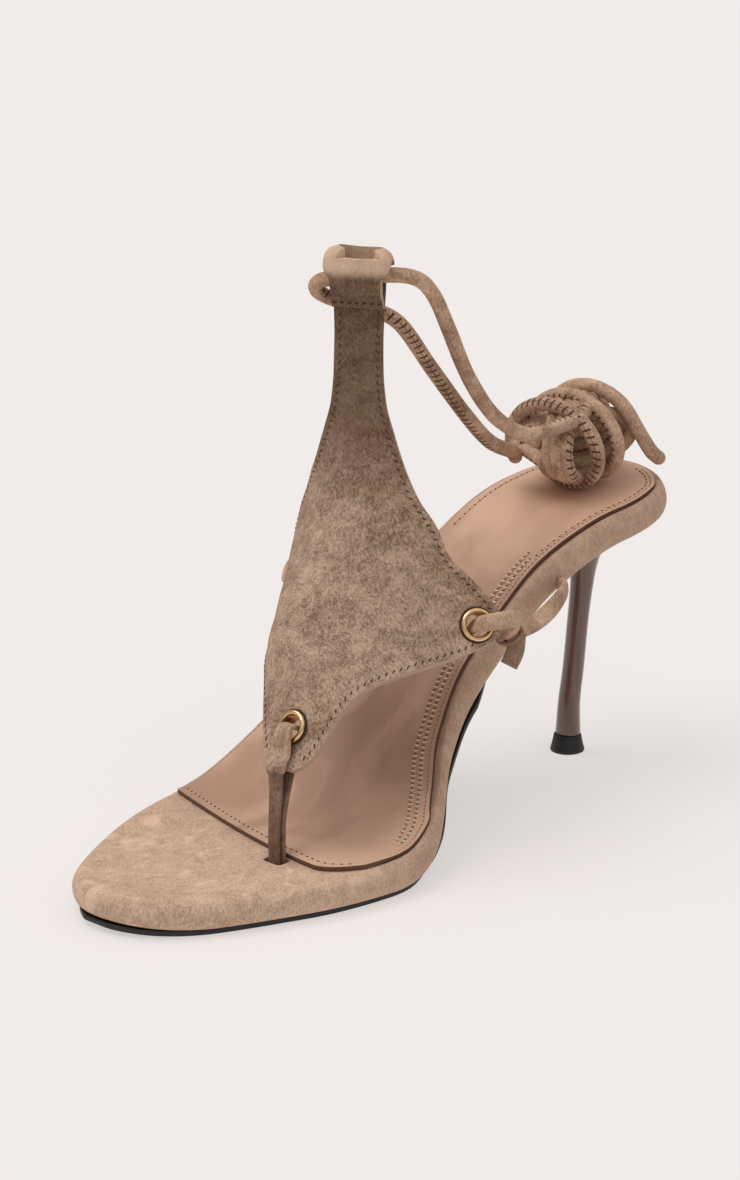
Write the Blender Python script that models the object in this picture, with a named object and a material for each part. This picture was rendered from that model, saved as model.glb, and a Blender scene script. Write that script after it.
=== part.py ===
"""Lace up heeled sandal for the right foot.

Metres, +Z up. The toe points along -Y, the inner side of the foot along +X, and the floor is z = 0.
Most places are given from the heel axis: the upright line through the middle of the heel's top piece.
"""
import math

import bmesh
import bpy
from mathutils import Vector

# Sole and footbed
SOLE_LENGTH = 0.2310
INNER_HALF = 0.0490          # ball of the foot, from the heel axis to the inner edge
OUTER_HALF = 0.0430          # the same to the outer edge
SEAT_HEIGHT = 0.0760         # underside of the sole at the back of the heel seat
TOE_SPRING = 0.0020
BALL_END = 0.33              # share of the length where the sole leaves the floor
SEAT_START = 0.86            # share of the length where the heel seat begins
SEAT_RISE = 0.06             # share of the seat height gained along the seat
OUTSOLE_THICK = 0.0016
OUTSOLE_INSET = 0.0024
WAIST_INSET = 0.0040         # how much further the outsole draws in under the waist
WAIST_START = 0.50           # share of the length where it begins to
FOOTBED_THICK = 0.0085
FOOTBED_EDGE = 0.0042        # depth of the footbed's rounded edge
INSOLE_THICK = 0.0012
INSOLE_INSET = 0.0042
INSOLE_FRONT_OUTER = -0.1290  # insole front edge at the outer side, from the heel axis
INSOLE_FRONT_INNER = -0.1445
INSOLE_CORNER = 0.0120
INSOLE_BACK_ROUND = 0.0140   # length of the insole's round back end
GAP = 0.0003                 # running gap between pieces that lie on each other

# Heel
TIP_BACK = 0.0300            # heel axis to the back of the footbed
TOP_PIECE_HEIGHT = 0.0055
TOP_PIECE_RADIUS = 0.0053
HEEL_BREAST = 0.0100         # heel axis to the front of the heel under the sole
HEEL_SEAT_HALF = 0.0200      # half width of the heel where it meets the footbed

# Panel over the instep
PANEL_WALL = 0.0024
NECK_TOP = 0.1580
PANEL_HALF = 0.0384          # half width at the side eyelets
DEPTH_WIDTH = 0.0350         # half width at which the panel table gives its depth
LOOP_HEIGHT = 0.0172
NECK_TWIST = math.radians(32)  # turn of the neck's top towards the inner side
TWIST_START = 0.60           # share of NECK_TOP where the turn begins
TWIST_SPAN = 0.30

# Eyelets
EYELET_RADIUS = 0.0053
EYELET_BORE = 0.0031
EYELET_BARREL = 0.0006
EYELET_FLANGE = 0.0009

# Straps and lace
THONG_WIDTH = 0.0068
THONG_THICK = 0.0015
TIE_RADIUS = 0.0021
TIE_START = -0.0260          # where the side ties leave the footbed's edge, from the heel axis
TIE_CLEAR = 0.0040           # tie's middle line to the footbed's edge beside it
TIE_KNOT_BACK = 0.0170       # eyelet to knot
TIE_TAIL = 0.0085
TIE_TAIL_LEAN = 0.5          # how far the tail leans towards the toe, as a share of its length
LACE_RADIUS = 0.0022
LACE_TURN = 0.0205           # how far the lace swings out beside the loop
BUNDLE_LENGTH = 0.0440
BUNDLE_HEIGHT = 0.0300
BUNDLE_DEPTH = 0.0320
BUNDLE_X = -0.0020           # middle of the bundle from the heel axis
BUNDLE_Y = 0.0060

AXIS_X = (OUTER_HALF - INNER_HALF) / 2
AXIS_Y = SOLE_LENGTH / 2 - TIP_BACK
TOE_Y = -SOLE_LENGTH / 2

# Outline of the footbed: share of the length from the toe, inner edge as a share of INNER_HALF,
# outer edge as a share of OUTER_HALF
OUTLINE = (
    (0.000, 0.12, -0.04),
    (0.004, 0.22, 0.07),
    (0.012, 0.32, 0.15),
    (0.030, 0.45, 0.28),
    (0.060, 0.57, 0.42),
    (0.100, 0.68, 0.55),
    (0.170, 0.82, 0.74),
    (0.250, 0.95, 0.90),
    (0.320, 1.00, 0.98),
    (0.360, 1.01, 1.00),
    (0.405, 0.95, 1.00),
    (0.460, 0.77, 0.96),
    (0.520, 0.55, 0.90),
    (0.600, 0.42, 0.77),
    (0.700, 0.42, 0.66),
    (0.800, 0.50, 0.64),
    (0.880, 0.54, 0.64),
    (0.940, 0.49, 0.57),
    (0.975, 0.35, 0.41),
    (0.993, 0.19, 0.22),
    (1.000, 0.08, 0.09),
)

# Panel rows: height as a share of NECK_TOP, middle from the heel axis in x as a share of INNER_HALF and in
# y as a share of SOLE_LENGTH, depth of the inner and of the outer side as shares of DEPTH_WIDTH, half width
# on the inner and on the outer side as shares of PANEL_HALF
PANEL = (
    (0.222, 0.327, -0.6069, 0.69, 0.69, 0.104, 0.104),
    (0.234, 0.327, -0.6017, 0.69, 0.69, 0.195, 0.221),
    (0.256, 0.327, -0.5931, 0.69, 0.63, 0.255, 0.326),
    (0.285, 0.322, -0.5827, 0.69, 0.63, 0.292, 0.443),
    (0.316, 0.290, -0.5723, 0.80, 0.69, 0.352, 0.573),
    (0.342, 0.249, -0.5645, 0.89, 0.74, 0.422, 0.703),
    (0.364, 0.208, -0.5580, 0.97, 0.83, 0.542, 0.833),
    (0.383, 0.169, -0.5515, 1.03, 0.91, 0.724, 0.917),
    (0.399, 0.143, -0.5446, 1.09, 0.97, 0.898, 0.969),
    (0.415, 0.118, -0.5359, 1.09, 1.03, 0.979, 1.000),
    (0.440, 0.092, -0.5195, 1.03, 0.94, 1.000, 1.005),
    (0.472, 0.061, -0.4957, 0.94, 0.83, 0.964, 0.984),
    (0.506, 0.031, -0.4697, 0.83, 0.69, 0.898, 0.938),
    (0.557, 0.014, -0.4407, 0.74, 0.57, 0.742, 0.802),
    (0.608, 0.004, -0.4234, 0.69, 0.51, 0.646, 0.677),
    (0.658, 0.000, -0.4130, 0.60, 0.51, 0.513, 0.536),
    (0.709, 0.000, -0.4056, 0.57, 0.57, 0.386, 0.402),
    (0.759, 0.000, -0.4009, 0.54, 0.54, 0.289, 0.299),
    (0.816, 0.000, -0.3978, 0.51, 0.51, 0.207, 0.223),
    (0.873, 0.000, -0.3961, 0.49, 0.49, 0.180, 0.200),
    (0.937, 0.000, -0.3948, 0.46, 0.46, 0.174, 0.198),
    (1.000, 0.000, -0.3939, 0.40, 0.40, 0.182, 0.206),
)

# Loop at the top of the neck: its wall's middle line, back from the neck's wall and up from NECK_TOP, both
# as shares of LOOP_HEIGHT
LOOP = (
    (0.00, 0.00),
    (0.06, 0.23),
    (0.12, 0.49),
    (0.12, 0.71),
    (0.03, 0.87),
    (-0.13, 0.93),
    (-0.26, 0.81),
    (-0.31, 0.55),
    (-0.29, 0.29),
    (-0.23, 0.07),
    (-0.17, -0.08),
)

# Eyelets: name, height as a share of NECK_TOP, place across the panel as a share of the half width (inner +)
EYELETS = (
    ("eyelet_front", 0.289, 0.0),
    ("eyelet_medial", 0.440, 0.91),
    ("eyelet_lateral", 0.440, -0.91),
)

# Heel rows: share of the height up to the seat, front and back of the section from the heel axis and half
# width as shares of HEEL_SEAT_HALF
HEEL = (
    (0.000, -0.200, 0.200, 0.200),
    (0.120, -0.170, 0.190, 0.180),
    (0.300, -0.070, 0.270, 0.170),
    (0.520, 0.020, 0.360, 0.170),
    (0.700, 0.080, 0.470, 0.185),
    (0.800, 0.060, 0.590, 0.220),
    (0.870, -0.040, 0.825, 0.330),
    (0.920, -0.170, 1.040, 0.525),
    (0.960, -0.330, 1.230, 0.750),
    (1.000, -0.500, 1.360, 1.000),
)

# Leg of the toe thong: place from the heel axis in x as a share of INNER_HALF and in y as a share of
# SOLE_LENGTH, height as a share of NECK_TOP, width as a share of THONG_WIDTH
THONG_LEG = (
    (0.433, -0.6333, 0.029, 0.71),
    (0.424, -0.6312, 0.070, 0.71),
    (0.406, -0.6277, 0.108, 0.71),
    (0.384, -0.6216, 0.146, 0.74),
    (0.359, -0.6143, 0.184, 0.82),
)

# Run of a side tie outside the foot: outwards as a share of INNER_HALF, place from the heel axis as a share
# of SOLE_LENGTH, height as a share of SEAT_HEIGHT
TIE_RUN = (
    (0.582, -0.156, 0.805),
    (0.633, -0.216, 0.776),
    (0.743, -0.286, 0.804),
)

# Route of the ankle lace from the bundle through the loop and back: from the heel axis in x as a share of
# LACE_TURN and in y as a share of SOLE_LENGTH, height as a share of NECK_TOP
LACE = (
    (0.350, -0.0890, 0.680),
    (0.380, -0.1340, 0.690),
    (0.440, -0.1950, 0.746),
    (0.520, -0.2500, 0.838),
    (0.600, -0.2950, 0.945),
    (0.610, -0.3225, 1.012),
    (0.585, -0.3545, 1.050),
    (0.177, -0.3856, 1.058),
    (-0.420, -0.4185, 1.056),
    (-0.620, -0.4270, 1.044),
    (-0.720, -0.4240, 1.020),
    (-0.680, -0.4090, 0.996),
    (-0.500, -0.3890, 0.984),
    (-0.186, -0.3675, 0.980),
    (0.100, -0.3360, 0.951),
    (0.100, -0.2770, 0.850),
    (0.020, -0.2080, 0.742),
    (-0.120, -0.1470, 0.666),
    (-0.250, -0.0931, 0.628),
)


def reset():
    """Empties the scene."""
    for obj in list(bpy.data.objects):
        bpy.data.objects.remove(obj, do_unlink=True)


def sized(rows, *sizes):
    """Rows of a table with each column in metres: its shares times the named size that it follows."""
    return tuple(tuple(value * size for value, size in zip(row, sizes)) for row in rows)


PANEL_ROWS = sized(PANEL, NECK_TOP, INNER_HALF, SOLE_LENGTH, DEPTH_WIDTH, DEPTH_WIDTH, PANEL_HALF, PANEL_HALF)


def spread(rows, key):
    """Smooth value of every column of a table at a key in its first column."""
    if key <= rows[0][0]:
        return rows[0]
    if key >= rows[-1][0]:
        return rows[-1]
    i = next(k for k in range(len(rows) - 1) if rows[k + 1][0] >= key)
    before, low, high, after = rows[max(i - 1, 0)], rows[i], rows[i + 1], rows[min(i + 2, len(rows) - 1)]
    width = high[0] - low[0]
    u = (key - low[0]) / width
    out = [key]
    for c in range(1, len(low)):
        slope = (high[c] - low[c]) / width
        left = (low[c] - before[c]) / (low[0] - before[0]) if low[0] > before[0] else slope
        right = (after[c] - high[c]) / (after[0] - high[0]) if after[0] > high[0] else slope
        m0 = 0.0 if left * slope <= 0 else 2 * left * slope / (left + slope)
        m1 = 0.0 if right * slope <= 0 else 2 * right * slope / (right + slope)
        out.append(low[c] * (1 + 2 * u) * (1 - u) ** 2 + high[c] * u * u * (3 - 2 * u)
                   + width * (m0 * u * (1 - u) ** 2 - m1 * u * u * (1 - u)))
    return tuple(out)


def tread(share):
    """Height of the sole's underside at a share of the length from the toe."""
    if share < BALL_END:
        toe = max(0.0, 1 - share / 0.10)
        return TOE_SPRING * toe * toe
    rise = SEAT_HEIGHT * (1 - SEAT_RISE)
    seat_slope = SEAT_HEIGHT * SEAT_RISE / (1 - SEAT_START)
    if share > SEAT_START:
        return rise + seat_slope * (share - SEAT_START)
    span = SEAT_START - BALL_END
    u = (share - BALL_END) / span
    return rise * u * u * (3 - 2 * u) + seat_slope * span * (u ** 3 - u ** 2)


def steepness(share):
    """Thickness factor of a vertical cut through the sloping sole."""
    step = 0.004
    slope = (tread(min(share + step, 1)) - tread(max(share - step, 0))) / (2 * step * SOLE_LENGTH)
    return math.sqrt(1 + slope * slope)


def edges(share):
    """Inner and outer edge of the footbed, in the model's own x."""
    _, inner, outer = spread(OUTLINE, share)
    return AXIS_X + inner * INNER_HALF, AXIS_X - outer * OUTER_HALF


def share_at(y):
    return (y - TOE_Y) / SOLE_LENGTH


def footbed_under(share):
    return tread(share) + (OUTSOLE_THICK + GAP) * steepness(share)


def footbed_top(share):
    return footbed_under(share) + FOOTBED_THICK * steepness(share)


def shares(first, last, count):
    """Shares of the length, closer together near the round ends of toe and heel."""
    out = []
    for i in range(count + 1):
        u = i / count
        out.append(first + (last - first) * (1 - math.cos(math.pi * u)) / 2)
    return out


def material(name, colour, roughness, metallic=0.0):
    mat = bpy.data.materials.new(name)
    mat.use_nodes = True
    shader = mat.node_tree.nodes["Principled BSDF"]
    shader.inputs["Base Color"].default_value = (*colour, 1)
    shader.inputs["Roughness"].default_value = roughness
    shader.inputs["Metallic"].default_value = metallic
    mat.diffuse_color = (*colour, 1)
    return mat


def new_object(name, mesh, mat):
    obj = bpy.data.objects.new(name, mesh)
    mesh.materials.append(mat)
    bpy.context.scene.collection.objects.link(obj)
    mesh.shade_smooth()
    mesh.set_sharp_from_angle(angle=math.radians(40))
    return obj


def loft(name, rings, mat, closed=False):
    """Closed body through rings of equal count; its ends are filled unless the rings close on themselves."""
    bm = bmesh.new()
    loops = [[bm.verts.new(p) for p in ring] for ring in rings]
    pairs = list(zip(loops, loops[1:]))
    if closed:
        pairs.append((loops[-1], loops[0]))
    for a, b in pairs:
        n = len(a)
        for i in range(n):
            bm.faces.new((a[i], a[(i + 1) % n], b[(i + 1) % n], b[i]))
    if not closed:
        bm.faces.new(list(reversed(loops[0])))
        bm.faces.new(loops[-1])
    bmesh.ops.recalc_face_normals(bm, faces=bm.faces)
    mesh = bpy.data.meshes.new(name)
    bm.to_mesh(mesh)
    bm.free()
    return new_object(name, mesh, mat)


def slab_ring(y, inner, outer, low, high, edge, steps=5):
    """Section of a slab across the foot, with its two side edges rounded by a half ellipse."""
    middle = (low + high) / 2
    half = (high - low) / 2
    reach = min(edge, (inner - outer) * 0.3)
    ring = []
    for i in range(steps + 1):
        a = -math.pi / 2 + math.pi * i / steps
        ring.append((inner - reach + reach * math.cos(a), y, middle + half * math.sin(a)))
    for i in range(steps + 1):
        a = math.pi / 2 + math.pi * i / steps
        ring.append((outer + reach + reach * math.cos(a), y, middle + half * math.sin(a)))
    return ring


def cutter(name, obj):
    obj.hide_render = True
    obj.display_type = "WIRE"
    obj.name = name
    return obj


def cut(target, tool):
    mod = target.modifiers.new(tool.name, "BOOLEAN")
    mod.operation = "DIFFERENCE"
    mod.object = tool
    mod.solver = "EXACT"


def frame_along(points):
    """Tangent and two side directions at each point of a path, turned as little as possible."""
    tangents = []
    for i, p in enumerate(points):
        a = points[max(i - 1, 0)]
        b = points[min(i + 1, len(points) - 1)]
        tangents.append((b - a).normalized())
    side = tangents[0].orthogonal().normalized()
    out = []
    for t in tangents:
        side = (side - t * side.dot(t)).normalized()
        out.append((t, side, t.cross(side)))
    return out


def smooth_path(route, spacing):
    """Points a set spacing apart on a smooth curve through the route's own points."""
    pts = [Vector(p) for p in route]
    dense = []
    for i in range(len(pts) - 1):
        p0 = pts[max(i - 1, 0)]
        p1, p2 = pts[i], pts[i + 1]
        p3 = pts[min(i + 2, len(pts) - 1)]
        for k in range(20):
            u = k / 20
            dense.append(0.5 * ((2 * p1) + (p2 - p0) * u + (2 * p0 - 5 * p1 + 4 * p2 - p3) * u * u
                                + (3 * p1 - p0 - 3 * p2 + p3) * u ** 3))
    dense.append(pts[-1])
    length = sum((b - a).length for a, b in zip(dense, dense[1:]))
    count = max(2, round(length / spacing))
    step = length / count
    out = [dense[0]]
    walked, target = 0.0, step
    for a, b in zip(dense, dense[1:]):
        leg = (b - a).length
        while walked + leg >= target and len(out) < count:
            out.append(a.lerp(b, (target - walked) / leg))
            target += step
        walked += leg
    out.append(dense[-1])
    return out


def tube(name, route, radius, mat, resolution=2, spacing=None):
    """Round cord as a curve object along a smooth route."""
    pts = smooth_path(route, spacing or radius * 4)
    data = bpy.data.curves.new(name, "CURVE")
    data.dimensions = "3D"
    data.bevel_depth = radius
    data.bevel_resolution = resolution
    data.use_fill_caps = True
    spline = data.splines.new("POLY")
    spline.points.add(len(pts) - 1)
    for point, p in zip(spline.points, pts):
        point.co = (*p, 1)
    data.materials.append(mat)
    obj = bpy.data.objects.new(name, data)
    bpy.context.scene.collection.objects.link(obj)
    return obj


def from_axis(x, y, z):
    """A place given from the heel axis, in the model's own frame."""
    return Vector((AXIS_X + x, AXIS_Y + y, z))


def build_footbed(mat):
    rings = []
    for s in shares(0.0, 1.0, 44):
        inner, outer = edges(s)
        y = TOE_Y + s * SOLE_LENGTH
        rings.append(slab_ring(y, inner, outer, footbed_under(s), footbed_top(s), FOOTBED_EDGE))
    return loft("footbed", rings, mat)


def build_outsole(mat):
    """Thin sole from the toe to the heel's breast, set in from the footbed's edge."""
    rings = []
    end = share_at(AXIS_Y - HEEL_BREAST - GAP * 4)
    for s in shares(0.008, end, 36):
        inner, outer = edges(s)
        waist = min(max((s - WAIST_START) / (SEAT_START - WAIST_START), 0.0), 1.0)
        inset = min(OUTSOLE_INSET + WAIST_INSET * waist * waist * (3 - 2 * waist), (inner - outer) * 0.3)
        y = TOE_Y + s * SOLE_LENGTH
        low = tread(s)
        rings.append(slab_ring(y, inner - inset, outer + inset, low, low + OUTSOLE_THICK * steepness(s), 0.0004, 3))
    return loft("outsole", rings, mat)


def insole_front(x):
    """Front edge of the insole: a slanted line from the outer to the inner side."""
    inner = AXIS_X + INNER_HALF - INSOLE_INSET
    outer = AXIS_X - OUTER_HALF + INSOLE_INSET
    u = (x - outer) / (inner - outer)
    line = INSOLE_FRONT_OUTER + (INSOLE_FRONT_INNER - INSOLE_FRONT_OUTER) * math.sin(u * math.pi / 2)
    corner = max(0.0, (u - 0.86) / 0.14)
    return AXIS_Y + line + INSOLE_CORNER * corner * corner


def build_insole(mat):
    """Thin leather sock on the footbed, from behind the toes to the heel."""
    columns = 14
    rows = shares(0.0, 1.0, 30)
    bm = bmesh.new()
    top, under = [], []
    back = TOE_Y + SOLE_LENGTH - INSOLE_INSET
    for i, u in enumerate(rows):
        line_top, line_under = [], []
        for j in range(columns + 1):
            v = j / columns
            y_mid = AXIS_Y + INSOLE_FRONT_OUTER + (back - AXIS_Y - INSOLE_FRONT_OUTER) * u
            y = y_mid
            for _ in range(6):
                inner, outer = edges(share_at(y))
                end = min(max((y - back) / INSOLE_BACK_ROUND + 1, 0.0), 0.96)
                middle, half = (inner + outer) / 2, ((inner - outer) / 2 - INSOLE_INSET) * math.sqrt(1 - end * end)
                x = middle + half * (2 * v - 1)
                y = insole_front(x) + (back - insole_front(x)) * u
            s = share_at(y)
            z = footbed_top(s) + GAP * steepness(s)
            line_under.append(bm.verts.new((x, y, z)))
            line_top.append(bm.verts.new((x, y, z + INSOLE_THICK * steepness(s))))
        top.append(line_top)
        under.append(line_under)
    for i in range(len(rows) - 1):
        for j in range(columns):
            bm.faces.new((top[i][j], top[i][j + 1], top[i + 1][j + 1], top[i + 1][j]))
            bm.faces.new((under[i][j], under[i + 1][j], under[i + 1][j + 1], under[i][j + 1]))
    last = len(rows) - 1
    for j in range(columns):
        bm.faces.new((top[0][j], under[0][j], under[0][j + 1], top[0][j + 1]))
        bm.faces.new((top[last][j], top[last][j + 1], under[last][j + 1], under[last][j]))
    for i in range(last):
        bm.faces.new((top[i][0], top[i + 1][0], under[i + 1][0], under[i][0]))
        bm.faces.new((top[i][columns], under[i][columns], under[i + 1][columns], top[i + 1][columns]))
    bmesh.ops.recalc_face_normals(bm, faces=bm.faces)
    mesh = bpy.data.meshes.new("insole")
    bm.to_mesh(mesh)
    bm.free()
    return new_object("insole", mesh, mat)


def build_heel(mat):
    """Slim heel that flares back and out to the seat; its top follows the footbed's underside."""
    rings = []
    count = 20
    rows = sized(HEEL, 1, HEEL_SEAT_HALF, HEEL_SEAT_HALF, HEEL_SEAT_HALF)
    for k in range(19):
        u = k / 18
        share = 1 - (1 - u) ** 1.6
        _, front, back, half = spread(rows, share)
        ring = []
        for i in range(count):
            a = 2 * math.pi * i / count
            flat = 1.0 if math.sin(a) > 0 else 0.86
            y = AXIS_Y + (front + back) / 2 + (back - front) / 2 * math.sin(a) * flat
            x = AXIS_X + half * math.cos(a)
            seat = footbed_under(share_at(y)) - GAP * steepness(share_at(y))
            z = TOP_PIECE_HEIGHT + GAP + (seat - TOP_PIECE_HEIGHT - GAP) * share
            ring.append((x, y, z))
        rings.append(ring)
    return loft("heel", rings, mat)


def build_top_piece(mat):
    rings = []
    count = 20
    for z, radius in ((0.0, TOP_PIECE_RADIUS - 0.0004), (0.0006, TOP_PIECE_RADIUS),
                      (TOP_PIECE_HEIGHT * 0.5, TOP_PIECE_RADIUS - 0.0006), (TOP_PIECE_HEIGHT, 0.0042)):
        ring = []
        for i in range(count):
            a = 2 * math.pi * i / count
            ring.append((AXIS_X + radius * math.cos(a), AXIS_Y + radius * math.sin(a), z))
        rings.append(ring)
    return loft("heel_top_piece", rings, mat)


def panel_point(z, across):
    """A place on the panel's outer face; across runs from -1 at the outer edge to 1 at the inner edge."""
    _, mx, my, deep_in, deep_out, half_in, half_out = spread(PANEL_ROWS, z)
    half = half_in if across > 0 else half_out
    deep = deep_in if across > 0 else deep_out
    x = across * half
    y = deep * (x / DEPTH_WIDTH) ** 2
    return from_axis(mx + x, my + y, z)


def twist_at(z):
    """Axis and angle of the neck's turn at a height."""
    z = min(z, NECK_TOP)
    _, mx, my = spread(PANEL_ROWS, z)[:3]
    u = min(max((z / NECK_TOP - TWIST_START) / TWIST_SPAN, 0.0), 1.0)
    return from_axis(mx, my, 0), NECK_TWIST * u * u * (3 - 2 * u)


def twisted(p):
    """A place on the panel after the neck's turn."""
    axis, angle = twist_at(p.z)
    x, y = p.x - axis.x, p.y - axis.y
    c, s = math.cos(angle), math.sin(angle)
    return Vector((axis.x + x * c - y * s, axis.y + x * s + y * c, p.z))


def panel_normal(z, across):
    e = 0.0008
    up = panel_point(min(z + e, NECK_TOP), across) - panel_point(max(z - e, PANEL_ROWS[0][0]), across)
    a = max(min(across + 0.02, 1), -1)
    b = max(min(across - 0.02, 1), -1)
    side = panel_point(z, a) - panel_point(z, b)
    normal = side.cross(up).normalized()
    return normal


def panel_ring(z, columns):
    """Closed section of the panel's wall at one height."""
    front, back = [], []
    for j in range(columns + 1):
        across = -math.cos(math.pi * j / columns)
        p = panel_point(z, across)
        n = panel_normal(z, across)
        front.append(p)
        back.append(p - n * PANEL_WALL)
    return front + list(reversed(back))


def build_panel(mat):
    columns = 16
    rings = [panel_ring(row[0], columns) for row in PANEL_ROWS]
    top = rings[-1]
    rings.extend(fold_rings(top))
    rings = [[twisted(p) for p in ring] for ring in rings]
    return loft("vamp_panel", rings, mat)


def fold_rings(top):
    """The neck's end, folded forward and down into a flat loop whose end lies on the neck's front."""
    front_y = from_axis(0, PANEL_ROWS[-1][2], 0).y
    start_y = front_y + PANEL_WALL / 2
    route = [Vector((0, start_y + forward, NECK_TOP + up)) for forward, up in sized(LOOP, LOOP_HEIGHT, LOOP_HEIGHT)]
    path = smooth_path(route, 0.0019)[1:]
    out = []
    n = len(top)
    for k, (p, (t, _, _)) in enumerate(zip(path, frame_along([route[0]] + path)[1:])):
        normal = Vector((0, -t.z, t.y))
        fade = max(0.0, 1 - (k + 1) / 4)
        ring = []
        for i, q in enumerate(top):
            front = i < n // 2
            bow = q.y - (front_y if front else front_y + PANEL_WALL)
            c = p + normal * (PANEL_WALL / 2 if front else -PANEL_WALL / 2)
            ring.append(Vector((q.x, c.y + bow * fade, c.z)))
        out.append(ring)
    return out


def eyelet_place(height, across):
    z = height * NECK_TOP
    return panel_point(z, across), panel_normal(z, across)


def turned(name, profile, place, axis, mat, count=24):
    """Ring turned about an axis: profile rows are radius and height along the axis, a closed loop."""
    side = axis.orthogonal().normalized()
    other = axis.cross(side)
    rings = []
    for i in range(count):
        a = 2 * math.pi * i / count
        d = side * math.cos(a) + other * math.sin(a)
        rings.append([place + d * r + axis * h for r, h in profile])
    return loft(name, rings, mat, closed=True)


def build_eyelet(name, height, across, mat):
    """Two part eyelet: a round flange outside, a barrel through the wall and a thin flange inside."""
    p, n = eyelet_place(height, across)
    out = GAP * 2
    rise = EYELET_FLANGE
    inside = -PANEL_WALL - GAP * 5
    bore, barrel, rim = EYELET_BORE, EYELET_BORE + EYELET_BARREL, EYELET_RADIUS
    profile = (
        (bore, inside - 0.0004), (bore, out + rise * 0.5), (bore + 0.0004, out + rise),
        ((bore + rim) / 2, out + rise * 1.1), (rim - 0.0003, out + rise * 0.7), (rim, out + rise * 0.2),
        (rim - 0.0002, out), (barrel, out), (barrel, inside), (rim - 0.0012, inside), (rim - 0.0012, inside - 0.0004),
    )
    return turned(name, profile, p, n, mat)


def eyelet_hole(name, height, across, mat):
    p, n = eyelet_place(height, across)
    radius = EYELET_BORE + EYELET_BARREL + GAP
    side = n.orthogonal().normalized()
    other = n.cross(side)
    rings = []
    for h in (-0.006, 0.004):
        ring = []
        for i in range(20):
            a = 2 * math.pi * i / 20
            ring.append(p + n * h + (side * math.cos(a) + other * math.sin(a)) * radius)
        rings.append(ring)
    return cutter(name, loft(name, rings, mat))


def sweep_strip(name, path, widths, thick, mat, across=Vector((1, 0, 0))):
    """Flat strip along a path, its width as near to the given direction as the path lets it."""
    rings = []
    for i, p in enumerate(path):
        t = (path[min(i + 1, len(path) - 1)] - path[max(i - 1, 0)]).normalized()
        w = (across - t * across.dot(t)).normalized()
        d = t.cross(w)
        half, deep = widths[i] / 2, thick / 2
        ring = []
        for sx, sy in ((-1, -0.5), (-0.9, -1), (0.9, -1), (1, -0.5), (1, 0.5), (0.9, 1), (-0.9, 1), (-1, 0.5)):
            ring.append(p + w * half * sx + d * deep * sy)
        rings.append(ring)
    return loft(name, rings, mat)


def thong_route():
    """Middle line of the toe thong: up from the slot, over the tip, in at the eyelet and back to the slot."""
    lift = THONG_THICK / 2
    _, height, across = EYELETS[0]
    z0 = height * NECK_TOP
    lowest = PANEL_ROWS[0][0]
    leg = sized(THONG_LEG, INNER_HALF, SOLE_LENGTH, NECK_TOP, THONG_WIDTH)
    route = []

    def on_panel(dz, out, width):
        z = max(z0 + dz, lowest)
        drop = min(z0 + dz - lowest, 0)
        p = panel_point(z, across) + Vector((0, 0, drop))
        route.append((p + panel_normal(z, across) * out, width))

    side = THONG_THICK / 2 + GAP * 0.6
    for x, y, z, width in leg:
        route.append((from_axis(x, y - side, z), width))
    on_panel(-0.0106, 0.0006 + lift, 0.0064)
    on_panel(-0.0072, 0.0008 + lift, 0.0068)
    on_panel(-0.0042, 0.0020 + lift, 0.0068)
    on_panel(-0.0020, 0.0026 + lift, 0.0050)
    on_panel(-0.0001, 0.0016 + lift, 0.0042)
    on_panel(0.0002, -0.0012, 0.0042)
    on_panel(-0.0002, -PANEL_WALL - 0.0028, 0.0042)
    on_panel(-0.0026, -PANEL_WALL - 0.0042, 0.0050)
    on_panel(-0.0058, -PANEL_WALL - 0.0040, 0.0056)
    on_panel(-0.0094, -PANEL_WALL - 0.0026, 0.0058)
    for x, y, z, width in reversed(leg[:-2]):
        route.append((from_axis(x, y + side, z), width))
    return route


def build_thong(mat):
    route = thong_route()
    path = smooth_path([p for p, _ in route], 0.0016)
    widths = []
    for p in path:
        near = sorted(range(len(route)), key=lambda k: (route[k][0] - p).length)[:2]
        a, b = near
        da, db = (route[a][0] - p).length, (route[b][0] - p).length
        widths.append((route[a][1] * db + route[b][1] * da) / max(da + db, 1e-9))
    return sweep_strip("toe_thong", path, widths, THONG_THICK, mat)


def thong_slot(mat):
    """Slot in the footbed that the thong goes down into."""
    x, y, z, width = sized(THONG_LEG, INNER_HALF, SOLE_LENGTH, NECK_TOP, THONG_WIDTH)[0]
    half_x = width / 2 + GAP * 3
    half_y = THONG_THICK + GAP * 4
    c = from_axis(x, y, 0)
    rings = []
    for level in (z - GAP * 4, footbed_top(share_at(c.y)) + 0.004):
        rings.append([(c.x + sx * half_x, c.y + sy * half_y, level)
                      for sx, sy in ((-1, -1), (1, -1), (1, 1), (-1, 1))])
    return cutter("thong_slot", loft("thong_slot", rings, mat))


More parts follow.
